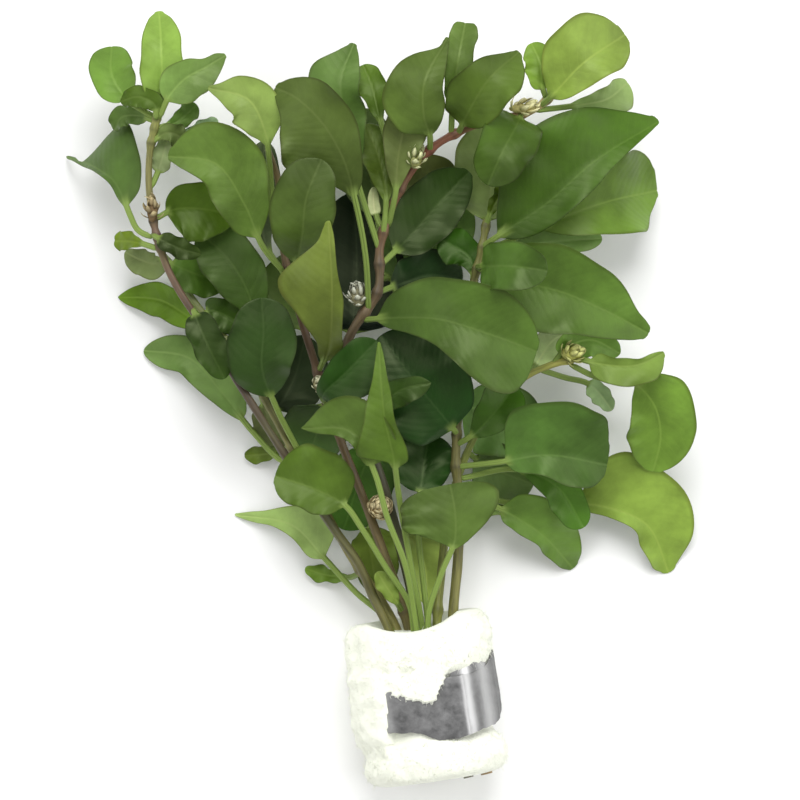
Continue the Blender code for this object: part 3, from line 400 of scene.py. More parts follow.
def strip_points():
    """Rings of points across the strip along its route, and how much painted highlight it has at each."""
    inner = smooth_route([(a, b, 0.0) for a, b in STRIP_ROUTE_INNER], 10)
    outer = smooth_route([(a, b, 0.0) for a, b in STRIP_ROUTE_OUTER], 10)
    route = inner + outer[1:]
    lengths = lengths_along(route)
    shares = [row[0] for row in STRIP_EDGES]
    points, painted_shine = [], []
    for i, place in enumerate(route):
        share = lengths[i] / lengths[-1]
        low = float(np.interp(share, shares, [row[1] for row in STRIP_EDGES]))
        high = float(np.interp(share, shares, [row[2] for row in STRIP_EDGES]))
        ahead = route[min(i + 1, len(route) - 1)] - route[max(i - 1, 0)]
        out = Vector((ahead.y, -ahead.x, 0.0)).normalized()
        if out.dot(place) < 0:
            out = -out
        ring = []
        for side in (1, -1):
            for k in range(STRIP_ROWS + 1):
                t = k / STRIP_ROWS if side == 1 else 1 - k / STRIP_ROWS
                along = low + (high - low) * t
                dent = sum(deep * noise.noise(Vector((lengths[i] * long, along * wide, shift)))
                           for deep, long, wide, shift in STRIP_DENTS)
                edge = 0.35 * noise.noise(Vector((lengths[i] * 0.5, side * 0.1, 30.0 + (t > 0.5) * 9)))
                along += edge * (abs(t - 0.5) * 2) ** 6
                thick = STRIP_THICKNESS / 2 * (1.0 if 0 < k < STRIP_ROWS else 0.55)
                spot = place + out * (dent + side * thick)
                ring.append(WOOL_MOUTH + WOOL_AXIS * along + WOOL_ACROSS * spot.x + Vector((0, 0, spot.y)))
        for point in ring:
            point.z = max(point.z, 0.05)
        points += ring
        # Painted highlight: pale bands along the roll at these places across the strip.
        painted_shine += [sum(much * math.exp(-((place.x - across) / wide) ** 2)
                       for across, wide, much in PAINTED_SHINE_BANDS)] * len(ring)
    return points, len(route), len(ring), painted_shine


def ranged(tree, value, low, high, start, end, kind='LINEAR'):
    """A value that runs from start to end while the given one runs from low to high."""
    return add_node(tree, "MapRange", {"Value": value, "From Min": low, "From Max": high, "To Min": start,
                                       "To Max": end}, interpolation_type=kind).outputs["Result"]


def painted(tree, name, output="Fac"):
    """What is painted on the points of a piece under this name."""
    return add_node(tree, "Attribute", {}, attribute_name=name).outputs[output]


def blend(tree, factor, first, second, kind='MIX'):
    """The first colour, mixed with the second by the factor."""
    return add_node(tree, "Mix", {0: factor, 6: first, 7: second}, data_type='RGBA',
                    blend_type=kind).outputs[2]


lead_grey, tree, lead_shader = new_finish("lead_grey", {"Metallic": 0.75})
bloom = add_grain(tree, own_place(tree), 180.0, 8.0, breakup=0.7)["Grain"]
handling = add_grain(tree, own_place(tree), 900.0, 3.0)["Grain"]
lead_tone = toned(tree, bloom, 0.35, (0.10, 0.10, 0.10), 0.68, (0.25, 0.25, 0.25))
# Painted highlight: pale grey laid over the lead in the bands painted on its points.
lead_tone = blend(tree, painted(tree, "painted_shine"), lead_tone, (0.72, 0.72, 0.72, 1.0))
wire(tree, lead_shader, {"Base Color": lead_tone,
                         "Roughness": ranged(tree, bloom, 0.35, 0.7, 0.36, 0.55),
                         "Normal": bumped(tree, handling, 0.25, 0.0002)})


def paint(piece, name, values, kind='FLOAT'):
    """Store a number, a colour or a vector for each point of a piece, for its material to use."""
    layer = piece.data.attributes.new(name, kind, 'POINT')
    field = {'FLOAT': "value", 'FLOAT_COLOR': "color", 'FLOAT_VECTOR': "vector"}[kind]
    layer.data.foreach_set(field, np.asarray(values, np.float32).ravel())


strip_body, strip_rings, strip_sides, strip_painted_shine = strip_points()
strip = new_piece("lead_band", strip_body, loft_faces(strip_rings, strip_sides), lead_grey)
strip.data.set_sharp_from_angle(angle=math.radians(50))
paint(strip, "painted_shine", strip_painted_shine)
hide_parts("lead_strip")

# The stems.
# Six soft cuttings, olive brown to red brown with fine long streaks and a swollen joint at every leaf pair.
# Their cut ends are buried in the wool, and two of them show at its foot.
STEM_SIDES = 18
STEM_STEP = 0.9
# How far a joint swells out, and how much darker its ring is.
JOINT_SWELL = 0.42
JOINT_DARK = 0.45


def directions(places):
    """The direction of a route at each of its points."""
    ahead = places[1:] + places[-1:]
    behind = places[:1] + places[:-1]
    return [(a - b).normalized() for a, b in zip(ahead, behind)]


def carried_sides(tangents, middle):
    """Side vectors along a route: level at its middle, then carried both ways without twist."""
    sides = [None] * len(tangents)
    sides[middle] = Vector((0, 0, 1)).cross(tangents[middle]).normalized()
    for i in range(middle + 1, len(tangents)):
        sides[i] = (sides[i - 1] - sides[i - 1].dot(tangents[i]) * tangents[i]).normalized()
    for i in range(middle - 1, -1, -1):
        sides[i] = (sides[i + 1] - sides[i + 1].dot(tangents[i]) * tangents[i]).normalized()
    return sides


def places_along(route, distances):
    """Points of a route at distances from its start."""
    lengths = lengths_along(route)
    columns = np.array([tuple(point) for point in route])
    found = np.column_stack([np.interp(distances, lengths, columns[:, k]) for k in range(3)])
    return [Vector(row) for row in found]


def scaled(tree, colour, much):
    """A colour made darker or paler."""
    return add_node(tree, "VectorMath", {0: colour, "Scale": much}, operation='SCALE').outputs["Vector"]


def stem_skin():
    """Soft stem: its colour is painted along it, with long streaks and a dark ring at each joint."""
    material, tree, shader = new_finish("stem_skin", {"Specular IOR Level": 0.4})
    streaks = add_grain(tree, painted(tree, "streak_place", "Vector"), 1.0, 5.0, breakup=0.6,
                        darkest=0.62, palest=1.45)
    wire(tree, shader, {"Base Color": scaled(tree, painted(tree, "tone", "Color"), streaks["Shade"]),
                        "Roughness": ranged(tree, streaks["Grain"], 0.0, 1.0, 0.35, 0.6),
                        "Normal": bumped(tree, streaks["Grain"], 0.35, 0.0002)})
    return material


skin = stem_skin()


def stem(name, points, base_radius, tip_radius, joints, colours):
    """A stem with joints at the given shares of its length; colours run evenly from its base to its tip."""
    route = smooth_route(points)
    total = lengths_along(route)[-1]
    count = round(total / STEM_STEP) + 1
    distances = np.linspace(0, total, count)
    places = places_along(route, distances)
    tangents = directions(places)
    sides = carried_sides(tangents, count // 2)
    stops = np.linspace(0, 1, len(colours))
    shades = np.array([to_linear(colour) for colour in colours])
    ring_points, tones, streak = [], [], []
    for i in range(count):
        share = distances[i] / total
        radius = base_radius + (tip_radius - base_radius) * share
        near = min([abs(distances[i] - joint * total) for joint in joints])
        swell = JOINT_SWELL * math.exp(-(near / 1.3) ** 2)
        ring_dark = 1 - JOINT_DARK * math.exp(-(near / 0.5) ** 2)
        drift = noise.noise(Vector((distances[i] * 0.12, len(name), 0)))
        radius *= 1 + 0.12 * drift
        rise = tangents[i].cross(sides[i])
        for k in range(STEM_SIDES):
            turn = 2 * math.pi * k / STEM_SIDES
            flute = 1 + 0.05 * math.cos(4 * turn + 0.02 * distances[i])
            out = sides[i] * math.cos(turn) + rise * math.sin(turn)
            ring_points.append(places[i] + out * (radius * flute + swell))
            aged = min(1.0, max(0.0, share + 0.10 * drift))
            colour = [float(np.interp(aged, stops, shades[:, c])) * ring_dark for c in range(3)]
            tones.append((*colour, 1.0))
            streak.append((math.cos(turn) * 1.6, math.sin(turn) * 1.6, distances[i] * 0.16 + len(name)))
    piece = new_piece(name + "_fine", ring_points, loft_faces(count, STEM_SIDES), skin)
    paint(piece, "tone", tones, 'FLOAT_COLOR')
    paint(piece, "streak_place", streak, 'FLOAT_VECTOR')
    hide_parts(name)


stem("stem_left", [(7, -94, 16), (2.6, -58, 17.5), (-1.25, -50, 18), (-5.75, -40.25, 20), (-10.25, -34, 21),
    (-25.5, -11, 24), (-41, 13.5, 25), (-53.5, 34.25, 25), (-57.25, 50, 25), (-57, 63.5, 27),
    (-55.25, 70.75, 29)],
    1.25, 0.85, (0.816, 0.831, 0.853, 0.961, 0.982, 0.996),
    ((116, 122, 58), (96, 92, 50), (74, 74, 42), (68, 54, 40), (96, 76, 58), (128, 132, 70)))
stem("stem_left_lower", [(9, -93.8, 12), (4.5, -58, 12.5), (-8, -38, 12.5), (-20.25, -15.75, 15),
    (-27.25, -2.75, 16), (-36, 12, 15), (-46, 24, 14), (-54, 36, 13)],
    1.2, 0.8, (0.366, 0.579, 0.604, 0.767, 0.805, 0.984),
    ((125, 130, 65), (118, 114, 62), (108, 104, 58), (98, 98, 54), (94, 108, 52)))
stem("stem_middle", [(12, -93.4, 13), (7.5, -58, 13.5), (-2, -30, 18), (-12, -4, 22), (-17, 12, 25),
    (-19.5, 20, 26), (-23.5, 35.25, 27), (-25.5, 55.75, 28), (-27.75, 62.25, 30)],
    1.3, 0.85, (0.25, 0.593, 0.645, 0.789, 0.813, 0.893),
    ((122, 128, 62), (104, 94, 56), (96, 80, 52), (86, 64, 46), (112, 98, 62)))
stem("stem_tall", [(15, -93, 14), (10.5, -58, 14.5), (2, -25, 20), (-6, 2, 24), (-8, 14, 25),
    (-6.5, 17.25, 26), (-0.25, 27.25, 27), (0.25, 38, 27), (5.25, 52.25, 29), (12.75, 62.25, 31),
    (19.75, 66.5, 32), (28.75, 69.75, 31), (37.75, 71.75, 30), (44, 76.25, 30)],
    1.5, 0.9, (0.444, 0.597, 0.627, 0.663, 0.704, 0.762, 0.825, 0.862, 0.95, 0.987),
    ((118, 124, 60), (78, 78, 44), (58, 58, 37), (72, 62, 44), (98, 82, 58), (120, 74, 54), (150, 138, 88)))
stem("stem_right", [(27, -93.9, 21), (18.5, -58, 18), (19.75, -40.25, 18), (20.25, -30.25, 18),
    (19.25, -14.25, 20), (19.75, -5, 22), (22, 10, 23), (23.5, 28, 25), (26, 39, 27), (27, 45, 27)],
    1.4, 0.9, (0.506, 0.553, 0.612, 0.876, 0.91, 0.95, 0.986),
    ((152, 128, 86), (112, 110, 56), (98, 96, 50), (90, 84, 48), (104, 106, 54)))
stem("stem_right_side", [(22.5, -94.95, 17), (14.5, -58, 15), (15.5, -45, 14), (19, -22, 14), (26, -6, 17),
    (37.75, 6.25, 23), (43, 8.5, 25), (49, 10.25, 26)],
    1.2, 0.85, (0.35, 0.987),
    ((112, 110, 88), (122, 126, 64), (122, 132, 64), (152, 150, 76)))

# The leaves.
# Each leaf is a thin soft blade on a grooved stalk, cupped along its midrib, with arched side veins, a wavy
# edge and a paler matt underside.  Leaves lie over each other and the lowest touch the table.
BLADE_ROWS = 58
HALF_COLUMNS = 12
BLADE_THIN = 0.17
STALK_RADIUS = 0.75
STALK_STEP = 1.1
STALK_TONE = (118, 139, 68)
VEIN_SPACING = 2.3
# Steps over which a half is bent, the groove over the midrib, and how far the blade puckers.
BEND_STEPS = 48
GROOVE_DEPTH = 0.16
GROOVE_HALF_WIDTH = 0.32
PUCKER = 1.1
# The darkest and the palest that the painted light and shade over a leaf make its face.
DARKEST_FACE = 0.4
PALEST_FACE = 1.9
# Where along its blade a leaf is level from side to side, for a small leaf and for a large one.
SMALL_LEVEL = 0.55
LARGE_LEVEL = 0.68

# Where along a blade the half-widths of an uneven leaf are given.
EDGE_PLACES = (0.08, 0.22, 0.45, 0.68, 0.87, 0.97)


def blade_outline(u, half, belly, tip):
    """Half-width of a blade at u along it.

    half is either the greatest half-width of a spoon shape, which lies at belly and is blunt for a small
    tip value, or the half-widths at EDGE_PLACES.
    """
    if u <= 0.0 or u >= 1.0:
        return 0.0
    if isinstance(half, tuple):
        places = (0.0, *EDGE_PLACES, 1.0)
        widths = (0.0, *half, 0.0)
        span = next(i for i in range(len(places) - 1) if u <= places[i + 1])
        length = places[span + 1] - places[span]
        t = (u - places[span]) / length
        before = max(span - 1, 0)
        after = min(span + 2, len(places) - 1)
        leave = (widths[span + 1] - widths[before]) / (places[span + 1] - places[before]) * length
        arrive = (widths[after] - widths[span]) / (places[after] - places[span]) * length
        width = between_ends(t, widths[span], widths[span + 1], leave, arrive)
        if span == len(places) - 2:
            width = widths[span] * math.sqrt(max(0.0, 1 - t * t))
        return max(width, 0.0)
    base = tip * belly / (1 - belly)
    return half * (u / belly) ** base * ((1 - u) / (1 - belly)) ** tip


def reckon(tree, kind, *values):
    """The outcome of one step of arithmetic."""
    return add_node(tree, "Math", dict(enumerate(values)), operation=kind).outputs["Value"]


def vein_relief():
    """Veins of a blade as a node group: masks of its veins and midrib, a height for the bump and mottling."""
    group = bpy.data.node_groups.new("vein_relief", 'ShaderNodeTree')
    for label in ("Veins", "Midrib", "Height", "Mottle"):
        group.interface.new_socket(label, in_out='OUTPUT', socket_type='NodeSocketFloat')

    def steps(kind, *values):
        return reckon(group, kind, *values)

    def ease(value, low, high, start, end):
        return ranged(group, value, low, high, start, end, 'SMOOTHSTEP')

    place = own_place(group)
    blade = painted(group, "blade")
    away = steps('ABSOLUTE', painted(group, "rib"))
    wander = steps('MULTIPLY', add_grain(group, place, 300.0, 2.0)["Grain"], 0.3)
    phase = steps('ADD', painted(group, "vein"), wander)
    beside = steps('ABSOLUTE', steps('SUBTRACT', steps('FRACT', phase), 0.5))
    side_veins = steps('MULTIPLY', ease(beside, 0.0, 0.085, 1.0, 0.0), ease(away, 0.2, 9.0, 1.0, 0.25))
    side_veins = steps('MULTIPLY', side_veins, blade)
    cells = add_node(group, "TexVoronoi", {"Vector": place, "Scale": 750.0}, feature='DISTANCE_TO_EDGE')
    net = ease(cells.outputs["Distance"], 0.0, 0.12, 1.0, 0.0)
    lift = steps('MULTIPLY', ease(beside, 0.0, 0.5, 0.0, 1.0), blade)
    height = steps('SUBTRACT', steps('MULTIPLY', lift, 0.9), steps('MULTIPLY', net, 0.12))
    height = steps('SUBTRACT', height, steps('MULTIPLY', side_veins, 0.3))
    height = steps('ADD', height, steps('MULTIPLY', add_grain(group, place, 1500.0, 3.0)["Grain"], 0.25))
    wire(group, group.nodes.new("NodeGroupOutput"), {
        "Veins": steps('MAXIMUM', side_veins, steps('MULTIPLY', net, 0.16)),
        "Midrib": ease(away, 0.08, 0.42, 1.0, 0.0), "Height": height,
        "Mottle": add_grain(group, place, 95.0, 5.0, breakup=0.6)["Grain"]})
    return group


def leaf_skin():
    """Leaf: painted face and underside colours, paler veins, mottling, a thin dark rim and a green stalk."""
    material, tree, shader = new_finish("leaf_skin", {"Specular IOR Level": 0.36,
                                                      "Specular Tint": (0.85, 1.0, 0.55, 1.0)})
    relief = add_node(tree, "Group", {}, node_tree=vein_relief()).outputs
    face = painted(tree, "face_tone", "Color")
    under = painted(tree, "under_tone", "Color")
    upper = painted(tree, "upper")
    mottle = relief["Mottle"]
    vein_tone = add_node(tree, "VectorMath", {0: face, 1: (1.35, 1.22, 1.35), 2: (0.02, 0.026, 0.012)},
                         operation='MULTIPLY_ADD').outputs["Vector"]
    rim_tone = add_node(tree, "VectorMath", {0: face, 1: (0.62, 0.55, 0.5)},
                        operation='MULTIPLY').outputs["Vector"]
    top = scaled(tree, face, ranged(tree, mottle, 0.3, 0.7, 0.72, 1.3))
    top = blend(tree, reckon(tree, 'MULTIPLY', relief["Veins"], 0.14), top, vein_tone)
    top = blend(tree, reckon(tree, 'MULTIPLY', relief["Midrib"], 0.5), top, vein_tone)
    top = blend(tree, ranged(tree, painted(tree, "edge"), 0.9, 0.98, 0.0, 0.85), top, rim_tone)
    bottom = scaled(tree, under, ranged(tree, mottle, 0.3, 0.7, 0.88, 1.12))
    bottom = blend(tree, reckon(tree, 'MULTIPLY', relief["Veins"], 0.25), bottom,
                   blend(tree, 1.0, under, (0.72, 0.8, 0.66, 1.0), 'MULTIPLY'))
    blade = blend(tree, upper, bottom, top)
    gloss = add_node(tree, "Mix", {0: upper, 2: 0.62, 3: ranged(tree, mottle, 0.3, 0.7, 0.36, 0.5)})
    wire(tree, shader, {
        "Base Color": blend(tree, painted(tree, "blade"), painted(tree, "stalk_tone", "Color"), blade),
        "Roughness": gloss.outputs[0], "Normal": bumped(tree, relief["Height"], 0.15, 0.00016)})
    return material


leaf_surface = leaf_skin()


def leaf(name, spine, halves, face, slot="leaf_green", start=0.35, belly=(0.66, 0.66), tip=0.55,
         lobe=(1.0, 1.0), fold=(8.0, 8.0), bend=(18.0, 18.0), wave=0.6, under=(105, 128, 76),
         light=(0.0, 0.0), small=False):
    """A leaf from its stem to its tip.

    spine goes along the stalk and midrib, and start is the share of it that is stalk; halves are the
    greatest half-widths to the left and right of it, looking along it, or the half-widths at EDGE_PLACES;
    face and under are colours; belly and tip shape a spoon, as in blade_outline; a lobe value over 1 draws
    that half out to a point; fold and bend lift each half and its edge, in degrees; wave is how far its
    edge swings, in millimetres; light is the painted light and shade on the face, how much paler it gets
    for each centimetre to the right and towards the tips; a small leaf is level nearer its stalk.
    """
    route = smooth_route(spine)
    total = lengths_along(route)[-1]
    widest = [max(half) if isinstance(half, tuple) else half for half in halves]
    stalk_end = total * start
    stalk_rows = max(3, round(stalk_end / STALK_STEP))
    spread = (1 - np.cos(np.pi * np.linspace(0, 1, BLADE_ROWS + 1))) / 2
    blade_u = np.clip(0.55 * spread + 0.45 * np.linspace(0, 1, BLADE_ROWS + 1), 0, 0.9985)
    distances = np.concatenate([stalk_end * np.arange(stalk_rows) / stalk_rows,
                                stalk_end + (total - stalk_end) * blade_u])
    shares_u = (distances - stalk_end) / (total - stalk_end)
    places = places_along(route, distances)
    tangents = directions(places)
    level = SMALL_LEVEL if small else LARGE_LEVEL
    sides = carried_sides(tangents, int(np.argmin(abs(shares_u - level))))
    shares = np.sin(np.pi / 2 * np.arange(HALF_COLUMNS, -1, -1) / HALF_COLUMNS)
    fine = np.linspace(0, 1, BEND_STEPS + 1)
    seed = sum(ord(letter) * (k + 1) for k, letter in enumerate(name)) % 997
    phase = seed * 0.7
    points, rib_mm, edge, upper_side, vein, blade_part = [], [], [], [], [], []
    for i, u in enumerate(shares_u):
        side = sides[i]
        rise = tangents[i].cross(side)
        taper = min(1.0, max(0.0, 1 - u / 0.45))
        green = 1 - smooth_step(u, -0.02, 0.14)
        rib_radius = STALK_RADIUS * (1 - 0.75 * smooth_step(u, 0.0, 1.0))
        ring_upper, ring_lower = [], []
        for half in (0, 1):
            widen = 0.0
            if u > 0:
                widen = (blade_outline(u, halves[half], belly[half], tip) / widest[half]) ** lobe[half]
            half_width = STALK_RADIUS * taper + widest[half] * widen
            turn = math.radians(fold[half]) + math.radians(bend[half]) * widen * fine
            middle = (turn[1:] + turn[:-1]) / 2
            away = np.concatenate([[0], np.cumsum(np.cos(middle))]) * half_width / BEND_STEPS
            up = np.concatenate([[0], np.cumsum(np.sin(middle))]) * half_width / BEND_STEPS
            hand = 1 if half == 0 else -1
            for share in (shares if half == 0 else shares[-2::-1]):
                lean = float(np.interp(share, fine, turn))
                along_side = float(np.interp(share, fine, away))
                lifted = float(np.interp(share, fine, up))
                centre = places[i] + side * hand * along_side + rise * lifted
                normal = rise * math.cos(lean) - side * hand * math.sin(lean)
                if share == 0:
                    normal = rise
                from_rib = share * half_width
                if u > 0 and wave:
                    swing = (math.sin(2 * math.pi * (u * 2.6 + 0.37 * hand) + phase + hand)
                             + 1.1 * noise.noise(Vector((u * 4.2, hand * 3 + seed, 0.3))))
                    swing *= wave * share ** 2 * min(1.0, widen) * smooth_step(u, 0.02, 0.2)
                    pucker = PUCKER * noise.noise(Vector((distances[i] * 0.16, hand * from_rib * 0.16, seed)))
                    centre = centre + normal * (swing + pucker * share * min(1.0, widen))
                round_part = max(0.0, 1 - (from_rib / STALK_RADIUS) ** 2) ** 0.5
                rib_part = max(0.0, 1 - (from_rib / rib_radius) ** 2) ** 0.5
                thin = BLADE_THIN * math.sqrt(max(0.0, 1 - share * share))
                above = thin + green * (STALK_RADIUS - BLADE_THIN) * round_part
                above -= GROOVE_DEPTH * math.exp(-(from_rib / GROOVE_HALF_WIDTH) ** 2)
                below = thin + max(0.0, rib_radius - BLADE_THIN) * rib_part
                centre.z = max(centre.z, BLADE_THIN if share else 0.26)
                ring_upper.append(centre + normal * above)
                ring_lower.append(centre - normal * below)
                rib_mm.append(hand * from_rib)
                edge.append(share)
                arch = distances[i] - 0.55 * from_rib - 0.035 * from_rib ** 2
                vein.append(arch / VEIN_SPACING + (0.5 if hand > 0 else 0.0) + 20)
                beyond = max(smooth_step(u, -0.01, 0.1), smooth_step(from_rib, 0.6, 1.7) if u > 0 else 0.0)
                blade_part.append(float(beyond))
        ring = ring_upper + ring_lower[-2:0:-1]
        count = len(ring_upper)
        for values in (rib_mm, edge, vein, blade_part):
            latest = values[-count:]
            values += latest[-2:0:-1]
        upper_side += [1.0] * count + [0.0] * (count - 2)
        if i == 0:
            ring = [places[0] + (p - places[0]) * 0.6 - tangents[0] * 0.3 for p in ring]
        points += ring
    piece = new_piece(name + "_fine", points, loft_faces(len(shares_u), 4 * HALF_COLUMNS), leaf_surface)
    for label, values in (("rib", rib_mm), ("edge", edge), ("upper", upper_side), ("vein", vein),
                          ("blade", blade_part)):
        paint(piece, label, values)
    # Painted light and shade: the face colour is made paler to one side of the leaf and darker to the other.
    middle = sum(points, Vector()) / len(points)
    paler = [1 + ((p.x - middle.x) * light[0] + (p.y - middle.y) * light[1]) / 10 for p in points]
    paler = [min(PALEST_FACE, max(DARKEST_FACE, much)) for much in paler]
    paint(piece, "face_tone", [(*(value * much for value in to_linear(face)), 1.0) for much in paler],
          'FLOAT_COLOR')
    for label, colour in (("under_tone", under), ("stalk_tone", STALK_TONE)):
        paint(piece, label, [(*to_linear(colour), 1.0)] * len(points), 'FLOAT_COLOR')
    if name.startswith("leaf_"):
        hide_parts(name)


def small_leaf(name, spine, halves, face, slot="leaf_dark", start=0.2, belly=(0.5, 0.5), **more):
    """A small leaf; most of them are dark, short in the stalk and widest at their middle."""
    leaf(name, spine, halves, face, slot, start=start, belly=belly, small=True, **more)


# Left shoot.
# Twelve leaves round the tip of the left stem and along the lower left one.  Some lie on the table by
# their tips, and one shows its grey-green back.
small_leaf("leaf_left_round", [(-55.5, 70, 28), (-63, 75, 27), (-66.6, 80.5, 25), (-67, 88.3, 20)],
    (5.7, 5.9), (95, 128, 48), "leaf_green", start=0.36, tip=0.45, light=(-0.11, -0.13), wave=0.2)
small_leaf("leaf_left_tip", [(-55.25, 70.75, 30), (-54.3, 76.75, 31), (-54.3, 87.25, 31), (-55, 97, 25)],
    ((3.4, 5, 5.4, 4.6, 3, 1.2), (3.8, 5.2, 5.6, 5, 3.2, 1.2)), (122, 153, 64), "leaf_bright", start=0.12,
    light=(0.24, 0.03))
small_leaf("leaf_left_back", [(-54.75, 70.25, 30), (-52.25, 75.5, 32.5), (-48, 80, 34), (-43.5, 82.5, 33.5),
    (-38.2, 85.8, 31)], ((2.5, 4.4, 4.8, 2.4, 1.8, 0.8), (3, 5.2, 6.2, 4.4, 2.2, 0.8)), (104, 132, 64),
    "leaf_underside", light=(-0.42, 0.1), under=(95, 125, 72))
small_leaf("leaf_left_curl", [(-55.6, 70, 30), (-56, 73.6, 31.5), (-59.5, 75.3, 31), (-64.5, 74.3, 28)],
    (3, 2.8), (62, 85, 20), start=0.15, light=(-0.21, 0.78))
leaf("leaf_left_point", [(-57, 40.5, 25), (-60.25, 42.2, 24.5), (-62.25, 46, 24.5), (-64.25, 51, 24),
    (-66.5, 54.75, 22), (-69.8, 57.2, 18), (-79, 61.2, 1)],
    ((0.8, 1, 1.2, 1, 0.7, 0.4), (5, 8.8, 13.4, 0.7, 0.6, 0.4)), (69, 95, 38), start=0.24, fold=(8, -6),
    bend=(18, -6), light=(-0.28, 0.03))
leaf("leaf_left_broad", [(-24, 32, 28), (-28.5, 37.25, 31), (-33.5, 48.5, 34), (-40.5, 58.5, 35),
    (-52.6, 60.5, 33)], ((4, 6.2, 6.8, 5.6, 3.2, 1.2), (2.4, 6, 10, 10.4, 6.5, 2.6)), (81, 106, 40),
    start=0.25, light=(0.13, 0.16))
leaf("leaf_left_under", [(-56, 45, 25), (-51, 47.5, 22), (-43.5, 47.5, 21.5), (-35.75, 45.75, 20.5)], (7, 9),
    (71, 98, 19), "leaf_dark", start=0.18, belly=(0.5, 0.36), light=(0.27, 0.42))
leaf("leaf_left_dull", [(-33, 8, 15.5), (-32, 24, 18), (-37.5, 34.75, 19), (-45, 41.75, 16)], (7.5, 7.5),
    (58, 82, 30), "leaf_dark", start=0.35, belly=(0.55, 0.55), light=(0.37, 0.15))
small_leaf("leaf_left_mid", [(-53, 34.5, 13.5), (-50, 33, 16), (-45, 31, 15), (-38.5, 29, 12.5)], (6.5, 5.5),
    (72, 104, 31), start=0.1, light=(0.55, 0.45))
small_leaf("leaf_low_left_point", [(-37, 13, 15), (-47.25, 20.25, 10), (-54.75, 24.75, 5), (-66, 25.75, 0)],
    (4.2, 4.8), (85, 117, 19), "leaf_green", start=0.25, belly=(0.5, 0.45), tip=0.8, light=(0.02, 0.38))
small_leaf("leaf_low_left_broad", [(-20.6, -16, 14.5), (-24.5, -15.5, 9), (-32.25, -7.75, 7),
    (-39.75, 1.75, 5), (-47.75, 10.25, 3), (-59.5, 12.25, 0)], (5, 6), (98, 127, 62), "leaf_green", start=0.4,
    belly=(0.6, 0.5), tip=0.6, light=(-0.14, -0.18))
leaf("leaf_left_shade", [(-19.25, -15, 15), (-26.2, -1, 23), (-29.25, 8.5, 31), (-28.75, 17.25, 33.5),
    (-29.25, 25.25, 34)], (9.3, 9), (39, 64, 20), "leaf_dark", start=0.42, belly=(0.6, 0.6),
    light=(0.15, -0.15))

# Middle shoots.
# Eleven leaves stand up from the tips of the middle and the tallest stem and lean over each other.
leaf("leaf_top_bright", [(-26.5, 46, 28), (-27.25, 58.5, 34), (-28.5, 67, 38), (-32, 74, 40),
    (-42.5, 77.4, 38.5)], ((1.5, 4.4, 7, 5.2, 2.2, 0.8), (1.5, 4.6, 6.4, 5, 2, 0.8)), (121, 143, 70),
    "leaf_bright", start=0.45, light=(0.26, 0.09))
leaf("leaf_top_folded", [(-2.6, 22.2, 27.2), (-3.25, 34.75, 34), (-6, 49.75, 40), (-9, 60, 43.5),
    (-14.5, 69, 45), (-20.5, 74.7, 44), (-25.8, 77.4, 40)],
    ((3, 9.5, 14, 10.8, 5.5, 2), (2, 4, 7.4, 8.6, 4.4, 1.7)), (61, 76, 29), start=0.46, fold=(-12, 10),
    light=(-0.03, 0.13))
leaf("leaf_top_back", [(0, 37.4, 27.3), (-6.75, 59.75, 30), (-8.5, 69.75, 32), (-9.6, 78.5, 33),
    (-6.25, 88.8, 29)], ((3, 5.2, 7.6, 8.4, 3.6, 1.2), (2.4, 4.2, 5.4, 5, 3, 1.1)), (77, 103, 45), start=0.4,
    light=(0.14, 0.05))
leaf("leaf_top_small", [(5, 52, 29), (3.2, 58, 32), (2, 64, 31.8), (-0.2, 71.5, 30.5), (-1.7, 78, 29),
    (-4, 83.5, 27)], (3.8, 3.6), (68, 92, 24), start=0.55, small=True, light=(-0.45, 0.26))
leaf("leaf_middle_obovate", [(-22.5, 31, 28), (-20.5, 34.25, 34), (-19, 41, 42), (-18, 49.75, 46),
    (-14.25, 59.5, 46)], (9, 8), (65, 84, 31), start=0.18, belly=(0.6, 0.6), light=(-0.09, -0.24))
leaf("leaf_middle_olive", [(1, 41, 28), (1.8, 49.75, 29.5), (0.5, 58.5, 28.5), (-3.25, 68.75, 26)], (5, 5),
    (71, 90, 24), "leaf_dark", start=0.3, fold=(8, -12), bend=(18, 0), small=True, light=(0.29, 0.02))
leaf("leaf_middle_strip", [(-22, 29, 27), (-28.75, 39.75, 22), (-29.25, 52.25, 20), (-28.75, 64.75, 18)],
    (4.5, 4.5), (67, 79, 52), "leaf_dark", start=0.25, small=True)
leaf("leaf_crown_left", [(12.75, 62, 31), (12.6, 66, 37.5), (11.25, 70, 42), (11, 77, 44), (17.1, 90, 39)],
    ((3, 7.4, 10.2, 5.6, 0.9, 0.5), (2, 4.5, 5.4, 4, 2, 0.8)), (70, 89, 33), start=0.2, light=(-0.28, 0.02))
leaf("leaf_crown_dull", [(2.4, 43.4, 27.6), (4.2, 52, 33), (4.75, 60, 35), (6.5, 68.5, 36), (8.75, 76, 34)],
    (5, 6), (86, 98, 49), "leaf_dark", start=0.3, fold=(8, -10), small=True, light=(0.27, 0.13))
small_leaf("leaf_crown_pale", [(18, 66, 32), (18.5, 76, 38), (19.8, 84.75, 40), (21.5, 93.6, 36)],
    ((1.5, 2.2, 3, 3.2, 3.2, 2.4), (1.8, 2.8, 3.6, 4, 3.8, 2.8)), (79, 101, 42), "leaf_underside", start=0.3,
    light=(-0.25, 0.14), under=(86, 117, 68))
leaf("leaf_crown_right", [(19.75, 66.25, 32), (22.5, 71.75, 41), (27, 79, 45), (34.8, 86.3, 41)],
    ((3.5, 6, 7.6, 5, 2.2, 0.9), (2.5, 5.4, 7.6, 8, 5.4, 1.8)), (68, 89, 27), start=0.14, light=(0.18, -0.25))

